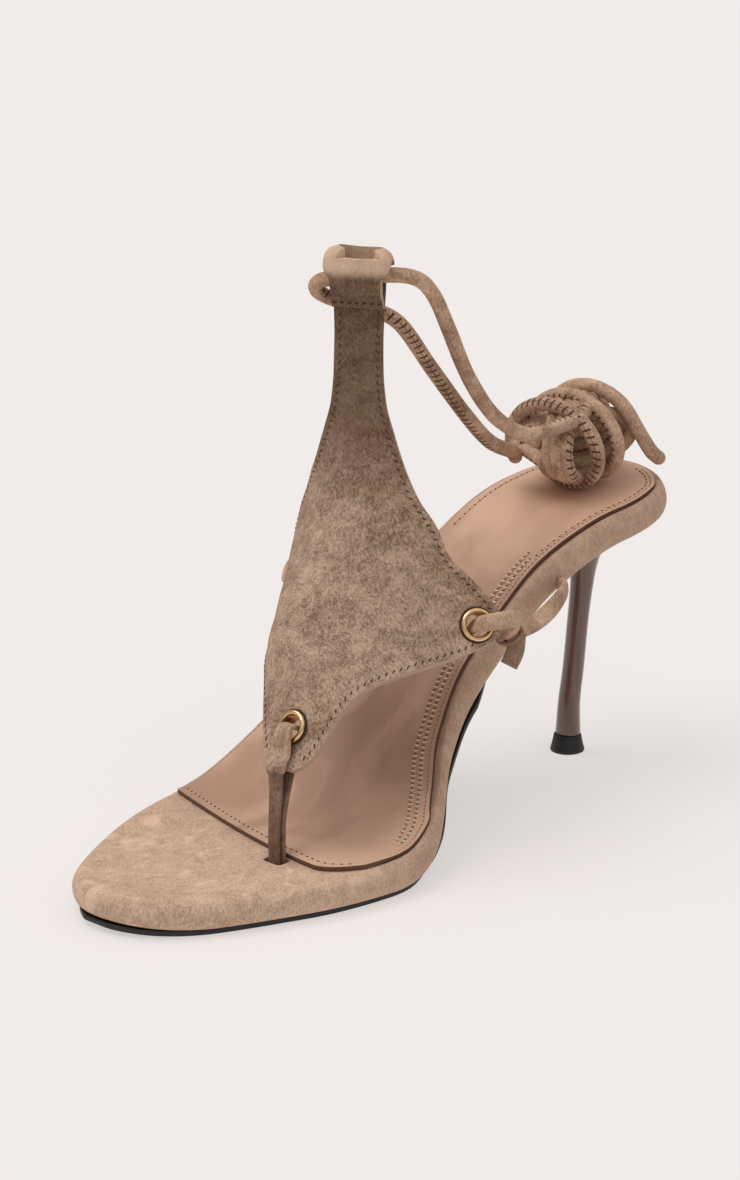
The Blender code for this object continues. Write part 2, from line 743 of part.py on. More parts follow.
def tie_route(sign):
    """Middle line of a side tie from the footbed's edge at the heel to the inside of its eyelet."""
    _, height, across = EYELETS[1] if sign > 0 else EYELETS[2]
    start_share = share_at(AXIS_Y + TIE_START)
    edge = edges(start_share)[0 if sign > 0 else 1]
    level = footbed_under(start_share) + TIE_RADIUS + 0.0012
    out = [Vector((edge + sign * (GAP + 0.0001), AXIS_Y + TIE_START, level))]
    out.append(out[0] + Vector((sign * 0.0034, -0.0012, -0.0006)))
    for x, y, drop in sized(TIE_RUN, INNER_HALF, SOLE_LENGTH, SEAT_HEIGHT):
        sole_edge = abs(edges(share_at(AXIS_Y + y))[0 if sign > 0 else 1] - AXIS_X)
        out.append(Vector((AXIS_X + sign * max(x, sole_edge + TIE_CLEAR), AXIS_Y + y, drop)))
    p, n = eyelet_place(height, across)
    along = (panel_point(height * NECK_TOP, across * 1.09) - p).normalized()
    out.append(p + along * 0.0110 + n * 0.0032)
    out.append(p + along * 0.0048 + n * 0.0045)
    out.append(p + along * 0.0012 + n * 0.0034)
    out.append(p + n * 0.0004)
    out.append(p - n * (PANEL_WALL + 0.0036))
    return out


def build_tie(side, sign, mat):
    route = tie_route(sign)
    tube("tie_" + side, route, TIE_RADIUS, mat, spacing=0.0026)
    path = smooth_path(route, 0.0010)
    at = max(k for k, q in enumerate(path) if (q - route[-2]).length > TIE_KNOT_BACK)
    axis = (path[at + 1] - path[at - 1]).normalized()
    ring = []
    for i in range(10):
        a = 2 * math.pi * i / 10
        ring.append((TIE_RADIUS + GAP * 1.5 + 0.0014 + 0.0014 * math.cos(a), 0.0027 * math.sin(a)))
    turned("tie_knot_" + side, ring, path[at], axis, mat, count=18)
    down = Vector((0, 0, -1))
    down = (down - axis * down.dot(axis)).normalized()
    first = path[at] + down * (TIE_RADIUS + GAP * 1.5 + 0.0028 + GAP)
    end = first + down * TIE_TAIL + Vector((sign * 0.0012, -TIE_TAIL * TIE_TAIL_LEAN, 0))
    tube("tie_tail_" + side, [first, (first + end) / 2 + Vector((sign * 0.0006, 0, 0)), end], TIE_RADIUS, mat)


def seat_level(y):
    """Height of the insole's top at a distance behind the heel axis."""
    s = share_at(AXIS_Y + y)
    return footbed_top(s) + (GAP + INSOLE_THICK) * steepness(s)


def build_bundle(mat):
    """Outer shape of the wound lace: an outline with round ends, lying on the heel seat."""
    slope = math.atan2(seat_level(0.022) - seat_level(0.004), 0.018)
    half = BUNDLE_HEIGHT / 2
    reach = BUNDLE_LENGTH / 2 - half
    outline = []
    for k in range(9):
        a = -math.pi / 2 + math.pi * k / 8
        outline.append((reach + half * math.cos(a), half * math.sin(a)))
    for k in range(9):
        a = math.pi / 2 + math.pi * k / 8
        outline.append((-reach + half * math.cos(a), half * math.sin(a)))
    foot = from_axis(BUNDLE_X, BUNDLE_Y, seat_level(BUNDLE_Y) + GAP / math.cos(slope))
    along = Vector((0, math.cos(slope), math.sin(slope)))
    up = Vector((0, -math.sin(slope), math.cos(slope)))
    centre = foot + up * half
    rings = []
    for x, size in ((-1, 0.80), (-0.78, 0.96), (0, 1.0), (0.78, 0.96), (1, 0.80)):
        rings.append([centre + Vector((x * BUNDLE_DEPTH / 2, 0, 0)) + along * u * size + up * v * size
                      for u, v in outline])
    return loft("lace_bundle", rings, mat)


def main():
    reset()
    suede = material("suede", (0.40, 0.27, 0.19), 0.95)
    leather = material("insole leather", (0.50, 0.33, 0.24), 0.55)
    lacquer = material("lacquered heel", (0.20, 0.12, 0.09), 0.25)
    black = material("black rubber", (0.012, 0.010, 0.011), 0.5)
    brass = material("pale gold", (0.86, 0.66, 0.42), 0.2, 1.0)
    build_footbed(suede)
    build_outsole(black)
    build_insole(leather)
    build_heel(lacquer)
    build_top_piece(black)
    panel = build_panel(suede)
    for name, height, across in EYELETS:
        cut(panel, eyelet_hole(name + "_hole", height, across, suede))
        build_eyelet(name, height, across, brass)
    footbed = bpy.data.objects["footbed"]
    cut(footbed, thong_slot(suede))
    build_thong(suede)
    build_tie("medial", 1, suede)
    build_tie("lateral", -1, suede)
    lace = [from_axis(*p) for p in sized(LACE, LACE_TURN, SOLE_LENGTH, NECK_TOP)]
    tube("ankle_lace", lace, LACE_RADIUS, suede, spacing=0.0062)
    build_bundle(suede)


main()
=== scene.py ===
"""Lace up heeled sandal for the right foot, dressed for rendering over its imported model.

Metres, +Z up. The toe points along -Y, the inner side of the foot along +X, and the floor is z = 0.
Most places are given from the heel axis: the upright line through the middle of the heel's top piece.
"""
import bisect
import math
import random

import bpy
from mathutils import Matrix, Vector


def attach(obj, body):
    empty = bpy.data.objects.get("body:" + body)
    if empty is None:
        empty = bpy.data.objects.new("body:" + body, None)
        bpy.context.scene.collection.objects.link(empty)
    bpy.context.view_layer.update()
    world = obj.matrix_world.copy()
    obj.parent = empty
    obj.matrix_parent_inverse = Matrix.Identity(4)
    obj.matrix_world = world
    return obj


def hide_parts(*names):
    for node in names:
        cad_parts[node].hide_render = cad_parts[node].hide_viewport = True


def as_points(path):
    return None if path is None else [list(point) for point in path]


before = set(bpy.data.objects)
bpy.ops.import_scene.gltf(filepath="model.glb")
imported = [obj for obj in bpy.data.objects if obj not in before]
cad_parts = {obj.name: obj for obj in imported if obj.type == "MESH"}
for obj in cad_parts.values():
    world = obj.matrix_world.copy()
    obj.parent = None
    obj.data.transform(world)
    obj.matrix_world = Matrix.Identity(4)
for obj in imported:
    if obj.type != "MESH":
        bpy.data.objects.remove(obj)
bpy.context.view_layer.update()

bl_info = {
    "name": "Lace up heeled sandal",
    "version": (1, 0, 0),
    "blender": (4, 5, 0),
    "location": "View3D > Sidebar > Sandal",
    "description": "Builds the pieces of a lace up heeled sandal in suede over its packed model",
    "category": "Add Mesh",
}

# Sole and footbed, as in the part's source
SOLE_LENGTH = 0.2310
INNER_HALF = 0.0490
OUTER_HALF = 0.0430
SEAT_HEIGHT = 0.0760
TOE_SPRING = 0.0020
BALL_END = 0.33
SEAT_START = 0.86
SEAT_RISE = 0.06
OUTSOLE_THICK = 0.0016
OUTSOLE_INSET = 0.0035
WAIST_INSET = 0.0040
WAIST_START = 0.50
WAIST_EDGE = (0.40, 0.64)  # shares of the length between which the sole shows at the waist
FOOTBED_THICK = 0.0085
FOOTBED_EDGE = 0.0042
INSOLE_THICK = 0.0012
INSOLE_INSET = 0.0042
INSOLE_FRONT_OUTER = -0.1290
INSOLE_FRONT_INNER = -0.1445
INSOLE_CORNER = 0.0120
EDGE_SWELL = 0.0012  # swell of the padded edge beside the insole
GAP = 0.0003

# Heel
TIP_BACK = 0.0300
TOP_PIECE_HEIGHT = 0.0055
TOP_PIECE_RADIUS = 0.0053
HEEL_BREAST = 0.0100
HEEL_SEAT_HALF = 0.0200

# Panel over the instep
PANEL_WALL = 0.0024
NECK_TOP = 0.1580
PANEL_HALF = 0.0384
DEPTH_WIDTH = 0.0350
LOOP_HEIGHT = 0.0172
NECK_TWIST = math.radians(32)  # turn of the neck's top towards the inner side
TWIST_START = 0.60  # share of NECK_TOP where the turn begins
TWIST_SPAN = 0.30
LOOP_OPENING = 0.0064  # half width of the opening in the loop's top
LOOP_ARCH = 0.0026  # drop of the loop's top towards its sides
LOOP_FRONT = 0.0136  # height of the front band over the neck's top
LOOP_STEP = 0.00055  # spacing of the rows of the loop and the thong
FLAP_FADE = 0.0076  # length over which the neck's own curve fades into the flat loop
FLAP_THIN = 0.0060  # length over which the loop's flap is skived
FLAP_SHARE = 0.42  # thickness left at the flap's end

# Eyelets
EYELET_RADIUS = 0.0053
EYELET_BORE = 0.0031
EYELET_BARREL = 0.0006
EYELET_FLANGE = 0.0009

# Straps and lace
THONG_WIDTH = 0.0068
THONG_THICK = 0.0015
TIE_RADIUS = 0.0021
TIE_START = -0.0298
TIE_CLEAR = 0.0032
TIE_KNOT_BACK = 0.0170
TIE_TAIL = 0.0085
TIE_TAIL_LEAN = 0.5
TIE_TURN = 55.0  # radians that a tie turns in a metre
TIE_STEP = 0.0006
KNOT_STEP = 0.0005
LACE_SEAM_TURN = 18.0  # radians that the lace's seam turns in a metre
LACE_RADIUS = 0.0022
LACE_TURN = 0.0205
BUNDLE_HEIGHT = 0.0300
BUNDLE_X = -0.0020
BUNDLE_Y = 0.0060

# Heel axis, toe and up
AXIS_X = (OUTER_HALF - INNER_HALF) / 2
AXIS_Y = SOLE_LENGTH / 2 - TIP_BACK
TOE_Y = -SOLE_LENGTH / 2
UP = Vector((0, 0, 1))

# Footbed's outline: share of the length from the toe, inner edge over INNER_HALF, outer edge over OUTER_HALF
OUTLINE = (
    (0.000, 0.12, -0.04),
    (0.004, 0.22, 0.07),
    (0.012, 0.32, 0.15),
    (0.030, 0.45, 0.28),
    (0.060, 0.57, 0.42),
    (0.100, 0.68, 0.55),
    (0.170, 0.82, 0.74),
    (0.250, 0.95, 0.90),
    (0.320, 1.00, 0.98),
    (0.360, 1.01, 1.00),
    (0.405, 0.95, 1.00),
    (0.460, 0.77, 0.96),
    (0.520, 0.55, 0.90),
    (0.600, 0.42, 0.77),
    (0.700, 0.42, 0.66),
    (0.800, 0.50, 0.64),
    (0.880, 0.54, 0.64),
    (0.940, 0.49, 0.57),
    (0.975, 0.35, 0.41),
    (0.993, 0.19, 0.22),
    (1.000, 0.08, 0.09),
)

# Panel: height over NECK_TOP, middle over INNER_HALF and SOLE_LENGTH, depth at its inner and outer side over
# DEPTH_WIDTH, inner and outer half over PANEL_HALF
PANEL = (
    (0.222, 0.327, -0.6069, 0.69, 0.69, 0.104, 0.104),
    (0.234, 0.327, -0.6017, 0.69, 0.69, 0.195, 0.221),
    (0.256, 0.327, -0.5931, 0.69, 0.63, 0.255, 0.326),
    (0.285, 0.322, -0.5827, 0.69, 0.63, 0.292, 0.443),
    (0.316, 0.290, -0.5723, 0.80, 0.69, 0.352, 0.573),
    (0.342, 0.249, -0.5645, 0.89, 0.74, 0.422, 0.703),
    (0.364, 0.208, -0.5580, 0.97, 0.83, 0.542, 0.833),
    (0.383, 0.169, -0.5515, 1.03, 0.91, 0.724, 0.917),
    (0.399, 0.143, -0.5446, 1.09, 0.97, 0.898, 0.969),
    (0.415, 0.118, -0.5359, 1.09, 1.03, 0.979, 1.000),
    (0.440, 0.092, -0.5195, 1.03, 0.94, 1.000, 1.005),
    (0.472, 0.061, -0.4957, 0.94, 0.83, 0.964, 0.984),
    (0.506, 0.031, -0.4697, 0.83, 0.69, 0.898, 0.938),
    (0.557, 0.014, -0.4407, 0.74, 0.57, 0.742, 0.802),
    (0.608, 0.004, -0.4234, 0.69, 0.51, 0.646, 0.677),
    (0.658, 0.000, -0.4130, 0.60, 0.51, 0.513, 0.536),
    (0.709, 0.000, -0.4056, 0.57, 0.57, 0.386, 0.402),
    (0.759, 0.000, -0.4009, 0.54, 0.54, 0.289, 0.299),
    (0.816, 0.000, -0.3978, 0.51, 0.51, 0.207, 0.223),
    (0.873, 0.000, -0.3961, 0.49, 0.49, 0.180, 0.200),
    (0.937, 0.000, -0.3948, 0.46, 0.46, 0.174, 0.198),
    (1.000, 0.000, -0.3939, 0.40, 0.40, 0.182, 0.206),
)

# Loop from the neck's end over the top to the flap: places along the foot and up, over LOOP_HEIGHT
LOOP = (
    (0.00, 0.00),
    (0.06, 0.23),
    (0.12, 0.49),
    (0.12, 0.71),
    (0.03, 0.87),
    (-0.13, 0.93),
    (-0.26, 0.81),
    (-0.31, 0.55),
    (-0.29, 0.29),
    (-0.23, 0.07),
    (-0.17, -0.08),
)

# Eyelets: node, height over NECK_TOP, place across the panel
EYELETS = (
    ("eyelet_front", 0.289, 0.0),
    ("eyelet_medial", 0.440, 0.91),
    ("eyelet_lateral", 0.440, -0.91),
)

# Heel: share of its height, then front, back and half width over HEEL_SEAT_HALF
HEEL = (
    (0.000, -0.200, 0.200, 0.200),
    (0.120, -0.170, 0.190, 0.180),
    (0.300, -0.070, 0.270, 0.170),
    (0.520, 0.020, 0.360, 0.170),
    (0.700, 0.080, 0.470, 0.185),
    (0.800, 0.060, 0.590, 0.220),
    (0.870, -0.040, 0.825, 0.330),
    (0.920, -0.170, 1.040, 0.525),
    (0.960, -0.330, 1.230, 0.750),
    (1.000, -0.500, 1.360, 1.000),
)

# Thong's leg from the slot up: place over INNER_HALF, SOLE_LENGTH and NECK_TOP, width over THONG_WIDTH
THONG_LEG = (
    (0.433, -0.6333, 0.029, 0.71),
    (0.424, -0.6312, 0.070, 0.71),
    (0.406, -0.6277, 0.108, 0.71),
    (0.384, -0.6216, 0.146, 0.74),
    (0.359, -0.6143, 0.184, 0.82),
)

# Side tie between the sole and the knot: place over INNER_HALF, SOLE_LENGTH and SEAT_HEIGHT
TIE_RUN = (
    (0.582, -0.174, 0.812),
    (0.633, -0.222, 0.786),
    (0.743, -0.286, 0.804),
)

# Lace from the bundle through the loop, round the neck's outer edge and back: place over LACE_TURN,
# SOLE_LENGTH and NECK_TOP
LACE = (
    (0.350, -0.0890, 0.680),
    (0.380, -0.1340, 0.690),
    (0.440, -0.1950, 0.746),
    (0.520, -0.2500, 0.838),
    (0.600, -0.2950, 0.945),
    (0.610, -0.3225, 1.012),
    (0.585, -0.3545, 1.050),
    (0.177, -0.3856, 1.052),
    (-0.400, -0.4175, 1.041),
    (-0.540, -0.4240, 1.031),
    (-0.590, -0.4180, 1.016),
    (-0.540, -0.4060, 1.003),
    (-0.410, -0.3890, 0.992),
    (-0.186, -0.3675, 0.980),
    (0.100, -0.3360, 0.951),
    (0.100, -0.2770, 0.850),
    (0.020, -0.2080, 0.742),
    (-0.120, -0.1470, 0.666),
    (-0.250, -0.0931, 0.628),
)

# Finishes: where they change on the shoe, and by how much
NECK_SHADE = (0.092, 0.128, 0.34, 0.1674)  # painted shade darkens the neck between the first two heights, painted light brightens the loop's band above the last
NECK_SHADE_TINT = (0.34, 0.23, 0.19)
SHADE_BLEND = 0.002
THONG_SHADE = (0.0352, 0.0338, 0.35, 1.0)  # the same columns for the thong's leg, which is dark below
WAIST_PAINTED_SHADE = (-0.070, -0.020, 0.42)  # painted shade: darkens between these places along the foot, by the last share
# painted light: the insole lightens towards the heel seat between these places along the foot
SEAT_PAINTED_LIGHT = (0.040, 0.085)
# painted shade: knots and tails get a copy of the tie's suede darkened by these shares
TIE_SHADE_LIGHT = 0.66
TIE_SHADE_DARK = 0.60

# Threads, cut edges, the pinholes' painted shade and the painted shadow ring round each eyelet, 0 to 255
INSOLE_EDGE = (108, 76, 58)
INSOLE_THREAD_DARK = (70, 46, 36)
INSOLE_THREAD_LIGHT = (214, 184, 158)
INSOLE_PINHOLE = (84, 58, 44)
INSOLE_CHAIN = (224, 194, 164)
INSOLE_GROOVE = (120, 88, 70)
PANEL_THREAD = (74, 50, 38)
EYELET_SHADOW = (52, 36, 28)
LACE_THREAD = (88, 62, 48)

# Bundle: each layer's half length, half height, first and last x, tilt, turns and start
BUNDLE_LAYERS = (
    (0.0085, 0.0036, -0.0050, 0.0050, 0.0040, 1.50, 0.00),
    (0.0130, 0.0072, 0.0055, -0.0055, 0.0070, 4.00, 0.52),
    (0.0176, 0.0108, -0.0062, 0.0062, -0.0082, 3.78, 0.54),
)

# Turns round the bundle's waist: degrees where they start and how far they go, and their travel to the back
WRAP_STEPS = 56
WRAP_START = 205.0
WRAP_SWEEP = 910.0
WRAP_HALF_WIDTH = 0.0155
WRAP_HALF_HEIGHT = 0.0132
WRAP_FIRST = -0.0125
WRAP_TRAVEL = 0.0225
LACE_SPACING = 0.0009
LACE_EASING = 6

# Lights: name, place, strength and angle
LAMPS = (
    ("key", (-0.45, -0.45, 1.2), 1.25, 45),
    ("fill", (0.9, -0.3, 0.8), 0.15, 60),
)
FLOOR_TINT = 0.34
FLOOR_GLOW = 0.647
SKY_LOW = 0.22
SKY_HIGH = 0.85
SKY_COLOUR = (1.0, 0.985, 0.97, 1)
SENSOR = 36.0

# Camera: focal length, the heel's top piece and the frame's middle in pixels of a smaller picture, ZOOM from
# that picture to the frame, angles and distance
PICTURE = (740, 1180)
ZOOM = 1.85
FOCAL = 2271.0
TIP_PIXEL = (361.0, 640.5)
AIM_PIXEL = (253.0, 556.0)
PITCH = math.radians(20.0)
YAW = math.radians(-41.52)
DISTANCE = 1.300


def sized(rows, *sizes):
    """Rows of a table with each column in metres: its shares times the named size that it follows."""
    return tuple(tuple(value * size for value, size in zip(row, sizes)) for row in rows)


PANEL_ROWS = sized(PANEL, NECK_TOP, INNER_HALF, SOLE_LENGTH, DEPTH_WIDTH, DEPTH_WIDTH, PANEL_HALF, PANEL_HALF)


def spread(rows, key):
    """Smooth value of every column of a table at a key in its first column."""
    if key <= rows[0][0]:
        return rows[0]
    if key >= rows[-1][0]:
        return rows[-1]
    i = next(k for k in range(len(rows) - 1) if rows[k + 1][0] >= key)
    before, low, high, after = rows[max(i - 1, 0)], rows[i], rows[i + 1], rows[min(i + 2, len(rows) - 1)]
    width = high[0] - low[0]
    u = (key - low[0]) / width
    out = [key]
    for c in range(1, len(low)):
        slope = (high[c] - low[c]) / width
        left = (low[c] - before[c]) / (low[0] - before[0]) if low[0] > before[0] else slope
        right = (after[c] - high[c]) / (after[0] - high[0]) if after[0] > high[0] else slope
        m0 = 0.0 if left * slope <= 0 else 2 * left * slope / (left + slope)
        m1 = 0.0 if right * slope <= 0 else 2 * right * slope / (right + slope)
        out.append(low[c] * (1 + 2 * u) * (1 - u) ** 2 + high[c] * u * u * (3 - 2 * u)
                   + width * (m0 * u * (1 - u) ** 2 - m1 * u * u * (1 - u)))
    return tuple(out)


def tread(share):
    """Height of the sole's underside at a share of the length from the toe."""
    if share < BALL_END:
        toe = max(0.0, 1 - share / 0.10)
        return TOE_SPRING * toe * toe
    rise = SEAT_HEIGHT * (1 - SEAT_RISE)
    seat_slope = SEAT_HEIGHT * SEAT_RISE / (1 - SEAT_START)
    if share > SEAT_START:
        return rise + seat_slope * (share - SEAT_START)
    span = SEAT_START - BALL_END
    u = (share - BALL_END) / span
    return rise * u * u * (3 - 2 * u) + seat_slope * span * (u ** 3 - u ** 2)


def steepness(share):
    """Thickness factor of a vertical cut through the sloping sole."""
    step = 0.004
    slope = (tread(min(share + step, 1)) - tread(max(share - step, 0))) / (2 * step * SOLE_LENGTH)
    return math.sqrt(1 + slope * slope)


def edges(share):
    """Inner and outer edge of the footbed, in the model's own x."""
    _, inner, outer = spread(OUTLINE, share)
    return AXIS_X + inner * INNER_HALF, AXIS_X - outer * OUTER_HALF


def share_at(y):
    """Share of the length from the toe at a place along the foot."""
    return (y - TOE_Y) / SOLE_LENGTH


def footbed_under(share):
    """Height of the footbed's underside."""
    return tread(share) + (OUTSOLE_THICK + GAP) * steepness(share)


def footbed_top(share):
    """Height of the footbed's top."""
    return footbed_under(share) + FOOTBED_THICK * steepness(share)


def insole_top(y):
    """Height of the insole's top at a place along the foot."""
    share = share_at(y)
    return footbed_top(share) + (GAP + INSOLE_THICK) * steepness(share)


def from_axis(x, y, z):
    """A place given from the heel axis, in the model's own frame."""
    return Vector((AXIS_X + x, AXIS_Y + y, z))


def smooth_path(route, spacing):
    """Points a set spacing apart on a smooth curve through the route's own points."""
    pts = [Vector(p) for p in route]
    dense = []
    for i in range(len(pts) - 1):
        p0 = pts[max(i - 1, 0)]
        p1, p2 = pts[i], pts[i + 1]
        p3 = pts[min(i + 2, len(pts) - 1)]
        for k in range(20):
            u = k / 20
            dense.append(0.5 * ((2 * p1) + (p2 - p0) * u + (2 * p0 - 5 * p1 + 4 * p2 - p3) * u * u
                                + (3 * p1 - p0 - 3 * p2 + p3) * u ** 3))
    dense.append(pts[-1])
    length = sum((b - a).length for a, b in zip(dense, dense[1:]))
    count = max(2, round(length / spacing))
    step = length / count
    out = [dense[0]]
    walked, target = 0.0, step
    for a, b in zip(dense, dense[1:]):
        leg = (b - a).length
        while walked + leg >= target and len(out) < count:
            out.append(a.lerp(b, (target - walked) / leg))
            target += step
        walked += leg
    out.append(dense[-1])
    return out


def path_length(path):
    """Length of a polyline."""
    return sum((b - a).length for a, b in zip(path, path[1:]))


def frame_along(points, side=None):
    """Tangent and two side directions at each point of a path, turned as little as possible."""
    tangents = []
    for i in range(len(points)):
        a = points[max(i - 1, 0)]
        b = points[min(i + 1, len(points) - 1)]
        tangents.append((b - a).normalized())
    side = side or tangents[0].orthogonal().normalized()
    out = []
    for t in tangents:
        side = (side - t * side.dot(t)).normalized()
        out.append((t, side, t.cross(side)))
    return out


def panel_point(z, across):
    """A place on the panel's outer face; across runs from -1 at the outer edge to 1 at the inner edge."""
    _, mx, my, deep_in, deep_out, half_in, half_out = spread(PANEL_ROWS, z)
    half = half_in if across > 0 else half_out
    deep = deep_in if across > 0 else deep_out
    x = across * half
    y = deep * (x / DEPTH_WIDTH) ** 2
    return from_axis(mx + x, my + y, z)


def twist_at(z):
    """Axis and angle of the neck's turn at a height."""
    z = min(z, NECK_TOP)
    _, mx, my = spread(PANEL_ROWS, z)[:3]
    u = min(max((z / NECK_TOP - TWIST_START) / TWIST_SPAN, 0.0), 1.0)
    return from_axis(mx, my, 0), NECK_TWIST * u * u * (3 - 2 * u)


def twisted(p):
    """A place on the panel after the neck's turn."""
    axis, angle = twist_at(p.z)
    x, y = p.x - axis.x, p.y - axis.y
    c, s = math.cos(angle), math.sin(angle)
    return Vector((axis.x + x * c - y * s, axis.y + x * s + y * c, p.z))


def panel_normal(z, across):
    """Direction that the panel's outer face looks in, before the neck's turn."""
    e = 0.0008
    up = panel_point(min(z + e, NECK_TOP), across) - panel_point(max(z - e, PANEL_ROWS[0][0]), across)
    a = max(min(across + 0.02, 1), -1)
    b = max(min(across - 0.02, 1), -1)
    side = panel_point(z, a) - panel_point(z, b)
    return side.cross(up).normalized()


def eyelet_place(height, across):
    """Middle of an eyelet on the panel's outer face, and the direction that it looks in."""
    z = height * NECK_TOP
    return panel_point(z, across), panel_normal(z, across)


# Shader nodes

class Wire:
    """A number or vector socket of a material that works with the usual operators."""

    def __init__(self, finish, socket):
        self.finish = finish
        self.socket = socket

    def __add__(self, other):
        return self.finish.math("ADD", self, other)

    __radd__ = __add__

    def __sub__(self, other):
        return self.finish.math("SUBTRACT", self, other)

    def __rsub__(self, other):
        return self.finish.math("SUBTRACT", other, self)

    def __mul__(self, other):
        return self.finish.math("MULTIPLY", self, other)

    __rmul__ = __mul__

    def __truediv__(self, other):
        return self.finish.math("DIVIDE", self, other)

    def fract(self):
        return self.finish.math("FRACT", self)

    def band(self, low, high):
        """0 below low and 1 above high, smooth between; the other way round where low is above high."""
        return self.finish.node("ShaderNodeMapRange", "Result", {"interpolation_type": "SMOOTHSTEP"},
                                {"Value": self, "From Min": low, "From Max": high})


class Finish:
    """A material under construction."""

    def __init__(self, name):
        self.material = bpy.data.materials.new(name)
        self.material.use_nodes = True
        self.tree = self.material.node_tree
        self.surface = self.tree.nodes["Principled BSDF"]

    def put(self, socket, value):
        """Links a wire to a socket, or sets the socket to a value."""
        if isinstance(value, Wire):
            self.tree.links.new(value.socket, socket)
        elif socket.type == "RGBA":
            socket.default_value = (*value[:3], 1)
        else:
            socket.default_value = value

    def node(self, kind, output, settings=None, values=None):
        """One output of a new node, which gets its settings first and then its inputs' values or wires."""
        node = self.tree.nodes.new(kind)
        for key, value in (settings or {}).items():
            setattr(node, key, value)
        for key, value in (values or {}).items():
            self.put(node.inputs[key], value)
        return Wire(self, node.outputs[output])

    def math(self, operation, a, b=0.0):
        """Result of a sum on numbers or wires."""
        return self.node("ShaderNodeMath", 0, {"operation": operation}, {0: a, 1: b})

    def mix(self, factor, a, b):
        """Colour a where the factor is 0 and b where it is 1."""
        return self.node("ShaderNodeMix", 2, {"data_type": "RGBA"}, {0: factor, 6: a, 7: b})

    def place(self, scale=(1, 1, 1), turn=(0, 0, 0)):
        """Object coordinates, turned and then scaled."""
        spot = self.node("ShaderNodeTexCoord", "Object")
        spun = self.node("ShaderNodeVectorRotate", "Vector", {"rotation_type": "EULER_XYZ"},
                         {"Vector": spot, "Rotation": turn})
        return self.node("ShaderNodeVectorMath", "Vector", {"operation": "MULTIPLY"}, {0: spun, 1: scale})

    def axis(self, index):
        """One of the object coordinates: 0 across the foot, 1 along it, 2 upwards."""
        spot = self.node("ShaderNodeTexCoord", "Object")
        return self.node("ShaderNodeSeparateXYZ", index, None, {0: spot})

    def noise(self, vector, scale, detail=2.0, roughness=0.5, distortion=0.0):
        """Soft random pattern, 0 to 1."""
        return self.node("ShaderNodeTexNoise", "Fac", None, {
            "Vector": vector, "Scale": scale, "Detail": detail, "Roughness": roughness,
            "Distortion": distortion})

    def constants(self, **values):
        """Sockets that are the same all over the surface, set on the shader itself."""
        for key, value in values.items():
            self.surface.inputs[key.replace("_", " ")].default_value = value

    def bump(self, height, strength, distance):
        """Fine relief from a height."""
        relief = self.node("ShaderNodeBump", "Normal", None, {
            "Height": height, "Strength": strength, "Distance": distance})
        self.put(self.surface.inputs["Normal"], relief)

    def set(self, **values):
        """Sockets of the surface, by value or wire."""
        for key, value in values.items():
            self.put(self.surface.inputs[key.replace("_", " ")], value)

    def uv(self):
        """Distance along a cord in metres, and the turn round it from 0 to 1."""
        spot = self.node("ShaderNodeUVMap", "UV", {"uv_map": "UVMap"})
        along = self.node("ShaderNodeSeparateXYZ", 0, None, {0: spot})
        return along, Wire(self, along.socket.node.outputs[1])


def srgb(r, g, b):
    """Linear colour of a colour given in the usual 0 to 255."""
    return tuple(c / 255 / 12.92 if c < 11 else ((c / 255 + 0.055) / 1.055) ** 2.4 for c in (r, g, b))


def tint(colour, factor):
    """Colour made darker or lighter."""
    return tuple(c * factor for c in colour)


def nap(finish, light, dark, swirl, slant, depth=1.0, cloudy=0.75):
    """Brushed nap of suede: its colour and its height, in patches, streaks and short crossed fibres."""
    wide = finish.noise(finish.place((1, 1, 1), (0.3, 0.2, 0.5)), 62.0, 3.0, 0.55, swirl)
    patch = finish.noise(finish.place((1, 0.6, 1), (0.1, 0.7, slant)), 210.0, 3.0, 0.6, swirl * 0.6)
    warp = finish.noise(finish.place((1.0, 1.0, 0.42), (0.0, 0.62, slant)), 1650.0, 2.0, 0.65)
    weft = finish.noise(finish.place((1.0, 1.0, 0.42), (0.0, -0.62, slant)), 1650.0, 2.0, 0.65)
    fine = finish.noise(finish.place(), 2600.0, 2.0, 0.7)
    cloud = wide.band(0.34, 0.66) * 0.5 + patch.band(0.30, 0.72) * 0.5
    fibre = warp * 0.36 + weft * 0.36 + fine * 0.28
    tone = (cloud - 0.5) * cloudy + (fibre - 0.5) * (3.0 * depth) + 0.5
    return finish.mix(tone, dark, light), fibre


